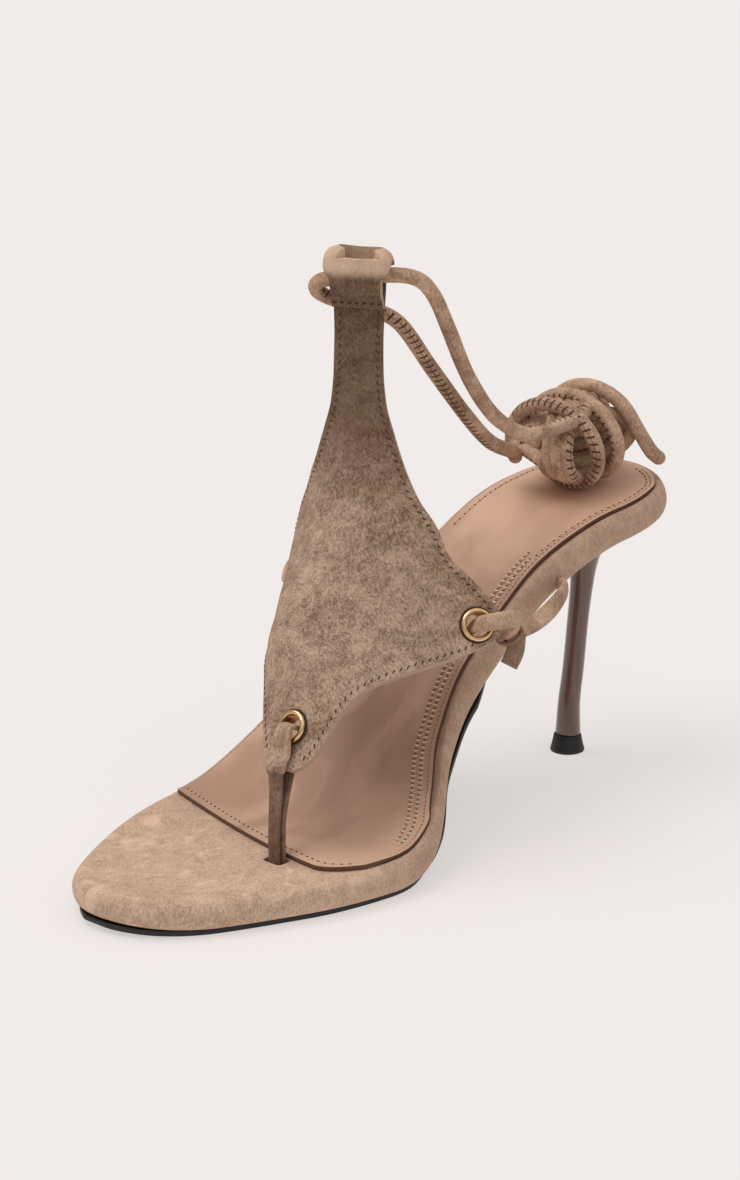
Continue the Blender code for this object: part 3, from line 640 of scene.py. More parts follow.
def suede(name, light, dark, swirl=1.2, slant=0.0, strength=0.5, depth=1.0, shade=None, painted_shade_along=None,
          cloudy=0.75, worn=0.0):
    """Suede of a piece.

    shade: heights between which the nap darkens, the share of light left, and where it is light again; on the
    neck this is painted shade, with painted light on the loop's band, and on the thong the leg's own darker
    colour
    dusk: places along the foot between which painted shade darkens the nap, and by how much
    cloudy and worn: contrast of its clouds and strength of its rubbed light swirls
    """
    finish = Finish(name)
    colour, height = nap(finish, light, dark, swirl, slant, depth, cloudy)
    if worn:
        rubbed = finish.noise(finish.place((1, 0.8, 1), (0.4, 0.1, 0.3)), 58.0, 3.0, 0.62, 2.8)
        colour = finish.mix(rubbed.band(0.48, 0.76) * worn, colour, tint(light, 1.30))
    if shade:
        # neck: painted shade that darkens it with height, and painted light on the loop's band; thong: the
        # leg's own darker colour
        low, high, left, back = shade
        level = finish.axis(2)
        rise = level.band(low, high) * level.band(back + SHADE_BLEND, back - SHADE_BLEND)
        deep = tuple(c * share for c, share in zip(dark, NECK_SHADE_TINT))
        colour = finish.mix(rise * (1.0 - left), colour, deep)
        lit = level.band(back - SHADE_BLEND, back + SHADE_BLEND)
        colour = finish.mix(lit * 0.55, colour, tint(light, 1.45))
    # painted shade: the footbed darkens from the ball back towards the waist
    if painted_shade_along:
        first, last, share = painted_shade_along
        colour = finish.mix(finish.axis(1).band(first, last) * share, colour, tint(dark, 0.9))
    finish.set(Base_Color=colour, Roughness=0.92)
    finish.constants(Specular_IOR_Level=0.18, Sheen_Weight=0.22, Sheen_Roughness=0.45, Sheen_Tint=(*light, 1))
    finish.bump(height, strength, 0.0006)
    return finish.material


def stitched_suede(name, light, dark, pitch, thread):
    """Suede of a rolled lace: its seam runs along one side, whipped with short slanted stitches."""
    finish = Finish(name)
    colour, height = nap(finish, light, dark, 1.0, 0.2)
    along, round_it = finish.uv()
    slanted = (along / pitch + round_it * 1.6).fract()
    tick = slanted.band(0.20, 0.32) * slanted.band(0.60, 0.48)
    side = round_it.band(0.10, 0.13) * round_it.band(0.34, 0.31)
    mark = tick * side
    seam = round_it.band(0.205, 0.215) * round_it.band(0.240, 0.230)
    colour = finish.mix(seam * 0.55, colour, tint(dark, 0.35))
    finish.set(Base_Color=finish.mix(mark, colour, thread), Roughness=0.92)
    finish.constants(Specular_IOR_Level=0.18, Sheen_Weight=0.2, Sheen_Roughness=0.45, Sheen_Tint=(*light, 1))
    finish.bump(height * 0.8 + mark * 0.5 - seam * 0.6, 0.5, 0.0005)
    return finish.material


def insole_leather(name, light, dark):
    """Smooth sock leather: broad worn patches, faint pores, and painted light that makes it lighter towards
    the heel seat.
    """
    finish = Finish(name)
    broad = finish.noise(finish.place((1, 0.5, 1)), 38.0, 3.0, 0.5, 0.8)
    pore = finish.noise(finish.place(), 1900.0, 3.0, 0.6)
    cloud = broad.band(0.36, 0.66) + (pore - 0.5) * 0.30
    # painted light: lighter towards the heel seat
    seat = finish.axis(1).band(*SEAT_PAINTED_LIGHT)
    colour = finish.mix(seat * 0.75, finish.mix(cloud, dark, light), tint(light, 1.28))
    finish.set(Base_Color=colour, Roughness=broad * 0.2 + 0.48)
    finish.constants(Specular_IOR_Level=0.35)
    finish.bump(pore, 0.12, 0.0003)
    return finish.material


def lacquer(name, light, dark):
    """Glossy wrapped leather of the heel, with faint upright streaks."""
    finish = Finish(name)
    streak = finish.noise(finish.place((1, 1, 0.08)), 420.0, 3.0, 0.5)
    pore = finish.noise(finish.place((1, 1, 0.6)), 1500.0, 2.0, 0.5)
    finish.set(Base_Color=finish.mix(streak.band(0.05, 0.95), dark, light), Roughness=pore * 0.12 + 0.22)
    finish.constants(Coat_Weight=0.7, Coat_Roughness=0.12)
    finish.bump(pore, 0.05, 0.0003)
    return finish.material


def rubber(name, colour, roughness, grain=900.0):
    """Black rubber with scuffs and a fine grain."""
    finish = Finish(name)
    scuff = finish.noise(finish.place((1, 0.35, 1)), 70.0, 4.0, 0.6, 0.6)
    speck = finish.noise(finish.place(), grain, 2.0, 0.5)
    finish.set(Base_Color=finish.mix(scuff.band(0.45, 0.75), colour, tint(colour, 2.2)),
               Roughness=scuff * 0.25 + roughness - 0.12)
    finish.bump(speck, 0.10, 0.0003)
    return finish.material


def gold(name, colour):
    """Pale gold plating, rubbed in places."""
    finish = Finish(name)
    rub = finish.noise(finish.place(), 800.0, 3.0, 0.6)
    finish.set(Base_Color=finish.mix(rub.band(0.3, 0.75), tint(colour, 0.86), colour),
               Roughness=rub * 0.12 + 0.10)
    finish.constants(Metallic=1.0)
    finish.bump(rub, 0.04, 0.0002)
    return finish.material


def plain(name, colour, roughness=0.85):
    """Thread, cut edges and small dark marks of painted shade, with a little fibre in them."""
    finish = Finish(name)
    fibre = finish.noise(finish.place(), 3600.0, 2.0, 0.6)
    finish.set(Base_Color=finish.mix(fibre.band(0.25, 0.8), tint(colour, 0.72), tint(colour, 1.15)),
               Roughness=roughness)
    finish.bump(fibre, 0.2, 0.0002)
    return finish.material


# Mesh tools

def sheet(name, rows, columns, place, wrap=False, fill=False):
    """Grid primitive with its points put where place(u, v) says, u across its columns, v along its rows."""
    bpy.ops.mesh.primitive_grid_add(x_subdivisions=columns, y_subdivisions=rows, size=1.0)
    obj = bpy.context.object
    obj.name = name
    obj.data.name = name
    for vert in obj.data.vertices:
        vert.co = place(vert.co.x + 0.5, vert.co.y + 0.5)
    if wrap or fill:
        bpy.ops.object.mode_set(mode="EDIT")
        bpy.ops.mesh.select_all(action="SELECT")
        bpy.ops.mesh.remove_doubles(threshold=0.000002)
        if fill:
            bpy.ops.mesh.fill_holes(sides=0)
            bpy.ops.mesh.select_all(action="SELECT")
        bpy.ops.mesh.normals_make_consistent(inside=False)
        bpy.ops.object.mode_set(mode="OBJECT")
    return obj


def finish_piece(obj, materials, slot, *nodes, angle=38.0):
    """Smooths a piece, gives it its materials and hides the nodes of the model that it stands for."""
    bpy.ops.object.select_all(action="DESELECT")
    obj.select_set(True)
    bpy.context.view_layer.objects.active = obj
    bpy.ops.object.shade_smooth_by_angle(angle=math.radians(angle))
    if not obj.data.materials:
        for mat in materials:
            obj.data.materials.append(mat)
    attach(obj, "root")
    if nodes:
        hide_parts(*nodes)
    bpy.ops.object.select_all(action="DESELECT")
    return obj


def apply(obj, kind, **settings):
    """Adds a modifier and applies it."""
    bpy.context.view_layer.objects.active = obj
    mod = obj.modifiers.new(kind.lower(), kind)
    for key, value in settings.items():
        setattr(mod, key, value)
    bpy.ops.object.modifier_apply(modifier=mod.name)


def cut_away(obj, cutter):
    """Takes the cutter's form out of a piece and removes the cutter."""
    apply(obj, "BOOLEAN", operation="DIFFERENCE", solver="EXACT", object=cutter)
    bpy.data.objects.remove(cutter, do_unlink=True)


def flip_faces(obj):
    """Turns a piece's faces round."""
    bpy.context.view_layer.objects.active = obj
    bpy.ops.object.mode_set(mode="EDIT")
    bpy.ops.mesh.select_all(action="SELECT")
    bpy.ops.mesh.flip_normals()
    bpy.ops.object.mode_set(mode="OBJECT")


def tube(name, path, sides, section, side=None, twist=0.0, fill=True):
    """Tube along a path; section(k, angle) gives the two side distances of a point of ring k."""
    frames = frame_along(path, side)
    last = len(path) - 1
    walked = [0.0]
    for a, b in zip(path, path[1:]):
        walked.append(walked[-1] + (b - a).length)

    def place(u, v):
        k = round(v * last)
        angle = 2 * math.pi * u
        a, b = section(k, angle)
        spin = twist * walked[k]
        a, b = a * math.cos(spin) - b * math.sin(spin), a * math.sin(spin) + b * math.cos(spin)
        return path[k] + frames[k][1] * a + frames[k][2] * b

    obj = sheet(name, last, sides, place, wrap=True, fill=fill)
    layer = obj.data.uv_layers[0]
    for item in layer.data:
        u, v = item.uv
        item.uv = (walked[min(round(v * last), last)], u)
    return obj


def round_end(distance, radius):
    """Share of a cord's full radius at a distance from its rounded end."""
    if distance >= radius:
        return 1.0
    return math.sqrt(max(0.02, 1 - (1 - distance / radius) ** 2))


def beads(name, places, length, width, height):
    """Many small stitches in one mesh, each an oval put at a place, along a direction and on a normal.

    The oval's points and faces are put in a set order, so that the mesh comes out the same each time.
    """
    bpy.ops.mesh.primitive_uv_sphere_add(segments=8, ring_count=6, radius=0.5)
    seed = bpy.context.object
    points = [v.co.copy() for v in seed.data.vertices]
    order = sorted(range(len(points)), key=lambda i: tuple(round(c, 5) for c in points[i]))
    rank = {old: new for new, old in enumerate(order)}
    base = [points[i] for i in order]
    faces = []
    for polygon in seed.data.polygons:
        ring = [rank[i] for i in polygon.vertices]
        first = ring.index(min(ring))
        faces.append(tuple(ring[first:] + ring[:first]))
    faces.sort()
    bpy.data.objects.remove(seed, do_unlink=True)
    verts, polys = [], []
    for spot, along, normal in places:
        along = (along - normal * along.dot(normal)).normalized()
        across = normal.cross(along)
        start = len(verts)
        for c in base:
            verts.append(spot + along * c.x * length + across * c.y * width + normal * c.z * height)
        polys.extend(tuple(start + i for i in f) for f in faces)
    mesh = bpy.data.meshes.new(name)
    mesh.from_pydata(verts, [], polys)
    obj = bpy.data.objects.new(name, mesh)
    bpy.context.scene.collection.objects.link(obj)
    return obj


def spaced(points, pitch):
    """Places a pitch apart along a polyline, each with the direction there."""
    out = []
    walked, target = 0.0, pitch / 2
    for a, b in zip(points, points[1:]):
        leg = (b - a).length
        while leg > 0 and walked + leg >= target:
            out.append((a.lerp(b, (target - walked) / leg), (b - a).normalized()))
            target += pitch
        walked += leg
    return out


# Footbed and insole

def outline_point(turn):
    """A place on the footbed's outline, once round from the toe along the inner side and back."""
    lap = 2 * turn if turn < 0.5 else 2 * (1 - turn)
    share = (1 - math.cos(math.pi * lap)) / 2
    inner, outer = edges(share)
    y = TOE_Y + share * SOLE_LENGTH
    x = inner if turn < 0.5 else outer
    return x, y


def footbed_outline(count):
    """Even points once round the outline, with the blunt ends of toe and heel rounded off."""
    raw = [Vector((*outline_point(i / 1600), 0)) for i in range(1600)]
    length = path_length(raw + raw[:1])
    even, walked, target = [], 0.0, 0.0
    for a, b in zip(raw, raw[1:] + raw[:1]):
        leg = (b - a).length
        while leg > 0 and walked + leg > target and len(even) < count:
            even.append(a.lerp(b, (target - walked) / leg))
            target += length / count
        walked += leg
    for _ in range(10):
        even = [(even[i - 1] + even[i] * 2 + even[(i + 1) % count]) / 4 for i in range(count)]
    return even


def build_footbed(colours):
    """Padded footbed wrapped in suede: rings follow the outline from the top over the rolled edge."""
    count = 260
    outline = footbed_outline(count)
    edge_rows = 14
    top_rows = 9
    low_y = TOE_Y + 0.020
    high_y = TOE_Y + SOLE_LENGTH - 0.020

    def spine(i):
        y = min(max((outline[i].y + outline[-i].y) / 2, low_y), high_y)
        inner, outer = edges(share_at(y))
        return Vector(((inner + outer) / 2, y, 0))

    def place(u, v):
        i = round(u * count) % count
        p = outline[i]
        inward = spine(i) - p
        reach = inward.length
        k = round(v * (top_rows * 2 + edge_rows))
        if top_rows <= k <= top_rows + edge_rows:
            angle = math.pi / 2 - math.pi * (k - top_rows) / edge_rows
            inset = FOOTBED_EDGE * (1 - math.cos(angle) ** (1.0 if angle > 0 else 0.55))
            lift = math.sin(angle)
        else:
            step = (top_rows - k) / top_rows if k < top_rows else (k - top_rows - edge_rows) / top_rows
            inset = FOOTBED_EDGE + (reach - FOOTBED_EDGE) * step
            lift = 1.0 if k < top_rows else -1.0
        q = p + inward * (min(inset, reach) / reach)
        share = min(max(share_at(q.y), 0), 1)
        low, high = footbed_under(share), footbed_top(share)
        padded = lift > 0 and inset < INSOLE_INSET
        band = math.sin(math.pi * min(inset / INSOLE_INSET, 1.0)) if padded else 0.0
        covered = min(max((q.y - insole_front(q.x)) / 0.006, 0.0), 1.0)
        return Vector((q.x, q.y, (low + high) / 2 + (high - low) / 2 * lift + EDGE_SWELL * band * covered))

    obj = sheet("footbed_wrapped", top_rows * 2 + edge_rows, count, place, wrap=True, fill=True)
    x, y, _, width = sized(THONG_LEG, INNER_HALF, SOLE_LENGTH, NECK_TOP, THONG_WIDTH)[0]
    spot = from_axis(x, y, footbed_top(share_at(AXIS_Y + y)))
    bpy.ops.mesh.primitive_cube_add(size=1.0, location=spot)
    slot = bpy.context.object
    slot.scale = (width + 0.0022, THONG_THICK * 2 + 0.0022, 0.0120)
    bpy.ops.object.transform_apply(location=True, rotation=False, scale=True)
    apply(slot, "BEVEL", width=0.0012, segments=3)
    cut_away(obj, slot)
    light, dark = colours
    # painted shade on the footbed's side from the ball back towards the waist
    cover = suede("suede_footbed", light, dark, swirl=1.6, slant=0.9, depth=1.5, painted_shade_along=WAIST_PAINTED_SHADE,
                  cloudy=0.55, worn=0.50)
    return finish_piece(obj, [cover], "suede", "footbed")


def insole_front(x):
    """Front edge of the insole: a slanted line from the outer to the inner side."""
    inner = AXIS_X + INNER_HALF - INSOLE_INSET
    outer = AXIS_X - OUTER_HALF + INSOLE_INSET
    u = (x - outer) / (inner - outer)
    line = INSOLE_FRONT_OUTER + (INSOLE_FRONT_INNER - INSOLE_FRONT_OUTER) * math.sin(u * math.pi / 2)
    corner = max(0.0, (u - 0.86) / 0.14)
    return AXIS_Y + line + INSOLE_CORNER * corner * corner


INSET_LINES = {}


def inset_line(inset):
    """Footbed's outline moved inwards: the inner and the outer side as lists of y and x."""
    if inset not in INSET_LINES:
        count = 640
        outline = footbed_outline(count)
        moved = []
        for i, p in enumerate(outline):
            t = (outline[(i + 1) % count] - outline[i - 1]).normalized()
            moved.append((p.y + t.x * inset, p.x - t.y * inset))
        top = max(range(count), key=lambda i: moved[i][0])
        low = min(range(count), key=lambda i: moved[i][0])
        ring = moved[low:] + moved[:low]
        turn = (top - low) % count
        INSET_LINES[inset] = (sorted(ring[:turn + 1]), sorted(ring[turn:] + ring[:1]))
    return INSET_LINES[inset]


def line_at(line, y):
    """Place across the foot on an inset line."""
    k = min(max(bisect.bisect_left(line, (y, -1.0)), 1), len(line) - 1)
    (y0, x0), (y1, x1) = line[k - 1], line[k]
    u = min(max((y - y0) / max(y1 - y0, 1e-9), 0.0), 1.0)
    return x0 + (x1 - x0) * u


def insole_spot(u, v, inset=0.0):
    """Place on the insole, u from its front to its back and v from its outer to its inner edge."""
    inner_line, outer_line = inset_line(INSOLE_INSET + inset)
    back = min(inner_line[-1][0], outer_line[-1][0])
    y = AXIS_Y + INSOLE_FRONT_OUTER + (back - AXIS_Y - INSOLE_FRONT_OUTER) * u
    x = 0.0
    for _ in range(6):
        inner, outer = line_at(inner_line, y), line_at(outer_line, y)
        x = outer + (inner - outer) * v
        front = insole_front(x) + inset
        y = front + (back - front) * u
    return Vector((x, y, insole_top(y)))


def build_insole(sizes, colours):
    """Leather sock with its cut edge, its stitches in front and at the heel, and the chain at the waist."""
    rows, columns = 150, 44

    def place(u, v):
        lap = (1 - math.cos(math.pi * v)) / 2
        return insole_spot(lap, u)

    obj = sheet("insole_sock", rows, columns, place)
    bpy.ops.object.mode_set(mode="EDIT")
    bpy.ops.mesh.select_all(action="SELECT")
    bpy.ops.mesh.normals_make_consistent(inside=False)
    bpy.ops.object.mode_set(mode="OBJECT")
    if obj.data.polygons[0].normal.z < 0:
        flip_faces(obj)
    leather = insole_leather("insole_leather_worn", *colours)
    obj.data.materials.append(leather)
    obj.data.materials.append(plain("insole_cut_edge", srgb(*INSOLE_EDGE)))
    apply(obj, "SOLIDIFY", thickness=INSOLE_THICK, offset=-1.0, material_offset_rim=1)
    apply(obj, "BEVEL", width=0.00035, segments=2, limit_method="ANGLE", angle_limit=math.radians(55),
          material=0)
    finish_piece(obj, [], "insole_leather", "insole")

    light, dark = [], []
    front = [insole_spot(0.0, 0.02 + 0.96 * k / 80, 0.0) + Vector((0, 0.0028, 0)) for k in range(81)]
    for p in front:
        p.z = insole_top(p.y)
    for k, (spot, along) in enumerate(spaced(front, sizes.insole_pitch * 0.5)):
        (light if k % 2 else dark).append((spot + UP * 0.00004, along, UP))
    for v in (0.0, 1.0):
        line = [insole_spot(0.66 + 0.335 * k / 80, v, 0.0024) for k in range(81)]
        for k, (spot, along) in enumerate(spaced(line, sizes.insole_pitch * 0.5)):
            (light if k % 2 else dark).append((spot + UP * 0.00006, along, UP))
    thread = beads("insole_stitches_dark", dark, sizes.insole_pitch * 0.42, 0.0005, 0.00036)
    finish_piece(thread, [plain("insole_thread_dark", srgb(*INSOLE_THREAD_DARK))], "insole_leather")
    thread = beads("insole_stitches_light", light, sizes.insole_pitch * 0.40, 0.0006, 0.00040)
    finish_piece(thread, [plain("insole_thread_light", srgb(*INSOLE_THREAD_LIGHT))], "insole_leather")
    holes, chain = [], []
    for inset, phase in ((0.0034, 0.0), (0.0056, 0.5)):
        line = [insole_spot(0.10 + 0.56 * k / 90, 1.0, inset) for k in range(91)]
        for spot, along in spaced(line, sizes.pinhole_pitch):
            middle = spot + along * phase * sizes.pinhole_pitch
            chain.append((middle + UP * 0.0001, along, UP))
            holes.append((middle + along * 0.5 * sizes.pinhole_pitch, along, UP))
    # dark beads for the pinholes: painted shade inside the holes
    pins = beads("insole_pinholes", holes, sizes.pinhole_pitch * 0.5, 0.0009, 0.00022)
    finish_piece(pins, [plain("pinhole_dark", srgb(*INSOLE_PINHOLE))], "insole_leather")
    loops = beads("insole_chain", chain, sizes.pinhole_pitch * 0.66, 0.0017, 0.0007)
    finish_piece(loops, [plain("chain_thread", srgb(*INSOLE_CHAIN))], "insole_leather")
    groove_line = [insole_spot(0.06 + 0.93 * k / 200, 1.0, 0.0012) for k in range(201)]
    cuts = [(spot, along, UP) for spot, along in spaced(groove_line, 0.0016)]
    groove = beads("insole_groove", cuts, 0.0020, 0.00032, 0.00016)
    finish_piece(groove, [plain("groove_dark", srgb(*INSOLE_GROOVE))], "insole_leather")


# Heel

def build_heel(colours):
    """Slim wrapped heel that flares back and out to the seat."""
    rows = sized(HEEL, 1, HEEL_SEAT_HALF, HEEL_SEAT_HALF, HEEL_SEAT_HALF)
    last = 90

    def place(u, v):
        share = 1 - (1 - v) ** 1.6
        _, front, back, half = spread(rows, share)
        angle = 2 * math.pi * u
        flat = 1.0 if math.sin(angle) > 0 else 0.86
        y = AXIS_Y + (front + back) / 2 + (back - front) / 2 * math.sin(angle) * flat
        x = AXIS_X + half * math.cos(angle)
        seat = footbed_under(share_at(y)) - GAP * steepness(share_at(y))
        return Vector((x, y, TOP_PIECE_HEIGHT + GAP + (seat - TOP_PIECE_HEIGHT - GAP) * share))

    obj = sheet("heel_wrapped", last, 72, place, wrap=True, fill=True)
    finish_piece(obj, [lacquer("heel_lacquer_gloss", *colours)], "heel_lacquer", "heel")


def build_top_piece(colour):
    """Small turned cap under the heel, flared towards the ground."""
    profile = (
        (0.0, TOP_PIECE_RADIUS - 0.0004),
        (0.00015, TOP_PIECE_RADIUS - 0.0001),
        (0.0006, TOP_PIECE_RADIUS),
        (TOP_PIECE_HEIGHT * 0.35, TOP_PIECE_RADIUS - 0.0004),
        (TOP_PIECE_HEIGHT * 0.7, 0.0045),
        (TOP_PIECE_HEIGHT - 0.0002, 0.0042),
        (TOP_PIECE_HEIGHT, 0.0040),
    )
    last = len(profile) - 1

    def place(u, v):
        z, radius = profile[round(v * last)]
        angle = 2 * math.pi * u
        return Vector((AXIS_X + radius * math.cos(angle), AXIS_Y + radius * math.sin(angle), z))

    obj = sheet("heel_top_piece_turned", last, 64, place, wrap=True, fill=True)
    finish_piece(obj, [rubber("top_piece_black", colour, 0.55)], "outsole_black", "heel_top_piece")


def build_outsole(colour):
    """Thin black sole that draws in under the waist and ends at the heel's breast."""
    end = share_at(AXIS_Y - HEEL_BREAST - GAP * 4)
    rows = 120
    ring = 24

    def place(u, v):
        share = 0.006 + (end - 0.006) * (1 - math.cos(math.pi * v)) / 2
        inner, outer = edges(share)
        waist = min(max((share - WAIST_START) / (SEAT_START - WAIST_START), 0.0), 1.0)
        inset = min(OUTSOLE_INSET + WAIST_INSET * waist * waist * (3 - 2 * waist), (inner - outer) * 0.3)
        flush = min(max((share - WAIST_EDGE[0]) / 0.05, 0.0), 1.0)
        flush *= min(max((WAIST_EDGE[1] - share) / 0.04, 0.0), 1.0)
        inset = inset * (1 - flush) + 0.0002 * flush
        low = tread(share)
        high = low + OUTSOLE_THICK * steepness(share)
        angle = 2 * math.pi * u
        c, s = math.cos(angle), math.sin(angle)
        half = (inner - outer) / 2 - inset
        x = (inner + outer) / 2 + half * math.copysign(abs(c) ** 0.12, c)
        z = (low + high) / 2 + (high - low) / 2 * math.copysign(min(abs(s) * half * 160, 1.0), s)
        return Vector((x, TOE_Y + share * SOLE_LENGTH, z))

    obj = sheet("outsole_moulded", rows, ring * 4, place, wrap=True, fill=True)
    finish_piece(obj, [rubber("outsole_scuffed", colour, 0.50, 600.0)], "outsole_black", "outsole")


# Panel, loop and eyelets

def loop_route():
    """Front of the neck's top, and the middle line of its wall through the loop."""
    front_y = from_axis(0, PANEL_ROWS[-1][2], 0).y
    start_y = front_y + PANEL_WALL / 2
    shape = sized(LOOP, LOOP_HEIGHT, LOOP_HEIGHT)
    route = [Vector((0, start_y + forward, NECK_TOP + up)) for forward, up in shape]
    return front_y, smooth_path(route, LOOP_STEP)


def build_panel(sizes, colours):
    """Suede panel over the instep, its neck and the loop folded from the neck's end, with eyelet holes."""
    front_y, fold = loop_route()
    fold_frames = frame_along(fold)
    body_rows = 190
    fold_rows = len(fold) - 1
    total = body_rows + fold_rows
    columns = 84

    def place(u, v):
        k = round(v * total)
        across = -math.cos(math.pi * u)
        if k <= body_rows:
            share = k / body_rows
            z = PANEL_ROWS[0][0] + (NECK_TOP - PANEL_ROWS[0][0]) * (share ** 1.25)
            return twisted(panel_point(z, across))
        edge = panel_point(NECK_TOP, across)
        n = k - body_rows
        t = fold_frames[n][0]
        normal = Vector((0, -t.z, t.y))
        fade = max(0.0, 1 - n * LOOP_STEP / FLAP_FADE)
        c = fold[n] + normal * (PANEL_WALL / 2)
        press = 0.0004 * min(max((n - fold_rows + 12) / 8, 0.0), 1.0)
        rise = min(max((c.z - NECK_TOP) / LOOP_HEIGHT, 0.0), 1.0)
        arch = LOOP_ARCH * (2 * u - 1) ** 2 * rise * rise
        return twisted(Vector((edge.x, c.y + (edge.y - front_y) * fade + press, c.z - arch)))

    obj = sheet("vamp_panel_suede", total, columns, place)
    middle = obj.data.polygons[len(obj.data.polygons) // 3]
    if middle.normal.y > 0:
        flip_faces(obj)
    light, dark = colours
    # painted shade on the neck and painted light on the loop's band
    obj.data.materials.append(suede("suede_panel", light, dark, swirl=1.4, strength=0.7, depth=1.35,
                                    shade=NECK_SHADE))
    obj.data.materials.append(plain("panel_cut_edge", tint(light, 0.85)))
    group = obj.vertex_groups.new(name="wall")
    for vert in obj.data.vertices:
        left = (total - vert.index // (columns + 1)) * LOOP_STEP / FLAP_THIN
        group.add([vert.index], min(1.0, max(0.0, left)), "REPLACE")
    apply(obj, "SOLIDIFY", thickness=PANEL_WALL, offset=-1.0, material_offset_rim=1, use_even_offset=True,
          vertex_group="wall", thickness_vertex_group=FLAP_SHARE)
    apply(obj, "BEVEL", width=0.00045, segments=2, limit_method="ANGLE", angle_limit=math.radians(55))
    for _, height, across in EYELETS:
        p, n = eyelet_place(height, across)
        bpy.ops.mesh.primitive_cylinder_add(vertices=40, radius=EYELET_BORE + EYELET_BARREL + GAP / 2,
                                            depth=0.010, location=p - n * 0.001,
                                            rotation=n.to_track_quat("Z", "Y").to_euler())
        hole = bpy.context.object
        bpy.ops.object.transform_apply(location=True, rotation=True, scale=True)
        cut_away(obj, hole)
    cut_loop_top(obj)
    finish_piece(obj, [], "suede", "vamp_panel")
    stitch_panel(sizes)


def cut_loop_top(obj):
    """Oval opening in the top of the loop, between its front and its back."""
    axis, angle = twist_at(NECK_TOP)
    forward = sized(LOOP, LOOP_HEIGHT, LOOP_HEIGHT)
    depth = (forward[3][0] - forward[7][0] - PANEL_WALL) / 2
    middle = (forward[3][0] + forward[7][0] + PANEL_WALL) / 2
    spot = twisted(axis + Vector((0.0004, middle, NECK_TOP + LOOP_HEIGHT)))
    bpy.ops.mesh.primitive_cylinder_add(vertices=48, radius=1.0, depth=LOOP_HEIGHT * 0.7, location=spot,
                                        rotation=(0, 0, angle))
    oval = bpy.context.object
    oval.scale = (LOOP_OPENING, depth + 0.0006, 1.0)
    bpy.ops.object.transform_apply(location=True, rotation=True, scale=True)
    cut_away(obj, oval)
    front = twisted(axis + Vector((0.0004, forward[7][0] - 0.0006, NECK_TOP + LOOP_FRONT)))
    bpy.ops.mesh.primitive_cylinder_add(vertices=48, radius=1.0, depth=0.010, location=front + UP * 0.005,
                                        rotation=(0, 0, angle))
    notch = bpy.context.object
    notch.scale = (LOOP_OPENING + 0.0006, 0.0040, 1.0)
    bpy.ops.object.transform_apply(location=True, rotation=True, scale=True)
    cut_away(obj, notch)


def edge_line(side, low, high, count, inset):
    """Line on the panel's outer face a set distance inside its inner (1) or outer (-1) edge."""
    line = []
    for k in range(count + 1):
        z = low + (high - low) * k / count
        here = panel_point(z, side)
        e = 0.0006
        above = panel_point(min(z + e, NECK_TOP), side)
        below = panel_point(max(z - e, PANEL_ROWS[0][0]), side)
        tangent = (above - below).normalized()
        normal = panel_normal(z, side)
        inward = tangent.cross(normal) * side
        if inward.x * side > 0:
            inward = -inward
        goal = here + inward * inset
        level = min(max(goal.z, PANEL_ROWS[0][0] + 0.0006), NECK_TOP)
        best = min((i / 160 for i in range(161)), key=lambda a: (panel_point(level, a * side) - goal).length)
        line.append((level, best * side))
    return line


def stitch_panel(sizes):
    """Slanted edge stitches of the panel and the straight row that holds the loop's flap."""
    places = []
    for side in (1, -1):
        line = edge_line(side, PANEL_ROWS[1][0], NECK_TOP - 0.001, 260, sizes.stitch_inset)
        points = [twisted(panel_point(z, a)) for z, a in line]
        normals = []
        for z, a in line:
            normals.append(Matrix.Rotation(twist_at(z)[1], 3, "Z") @ panel_normal(z, a))
        for spot, along in spaced(points, sizes.stitch_pitch):
            k = min(range(len(points)), key=lambda i: (points[i] - spot).length)
            normal = normals[k]
            across = normal.cross(along)
            places.append((spot + normal * 0.00005, along + across * 0.75 * side, normal))
    y = from_axis(0, PANEL_ROWS[-1][2], 0).y + LOOP[-1][0] * LOOP_HEIGHT + 0.0002
    level = NECK_TOP + LOOP_HEIGHT * 0.02
    inner, outer = PANEL_ROWS[-1][5], PANEL_ROWS[-1][6]
    turn = Matrix.Rotation(NECK_TWIST, 3, "Z")
    for k in range(7):
        x = AXIS_X - outer + 0.0010 + k * (inner + outer - 0.0020) / 6
        spot = twisted(Vector((x, y, level)))
        places.append((spot, turn @ Vector((1, 0, 0.15)), turn @ Vector((0, -1, 0))))
    thread = beads("panel_stitches", places, sizes.stitch_pitch * 0.66, 0.00042, 0.00040)
    finish_piece(thread, [plain("panel_thread", srgb(*PANEL_THREAD))], "suede")


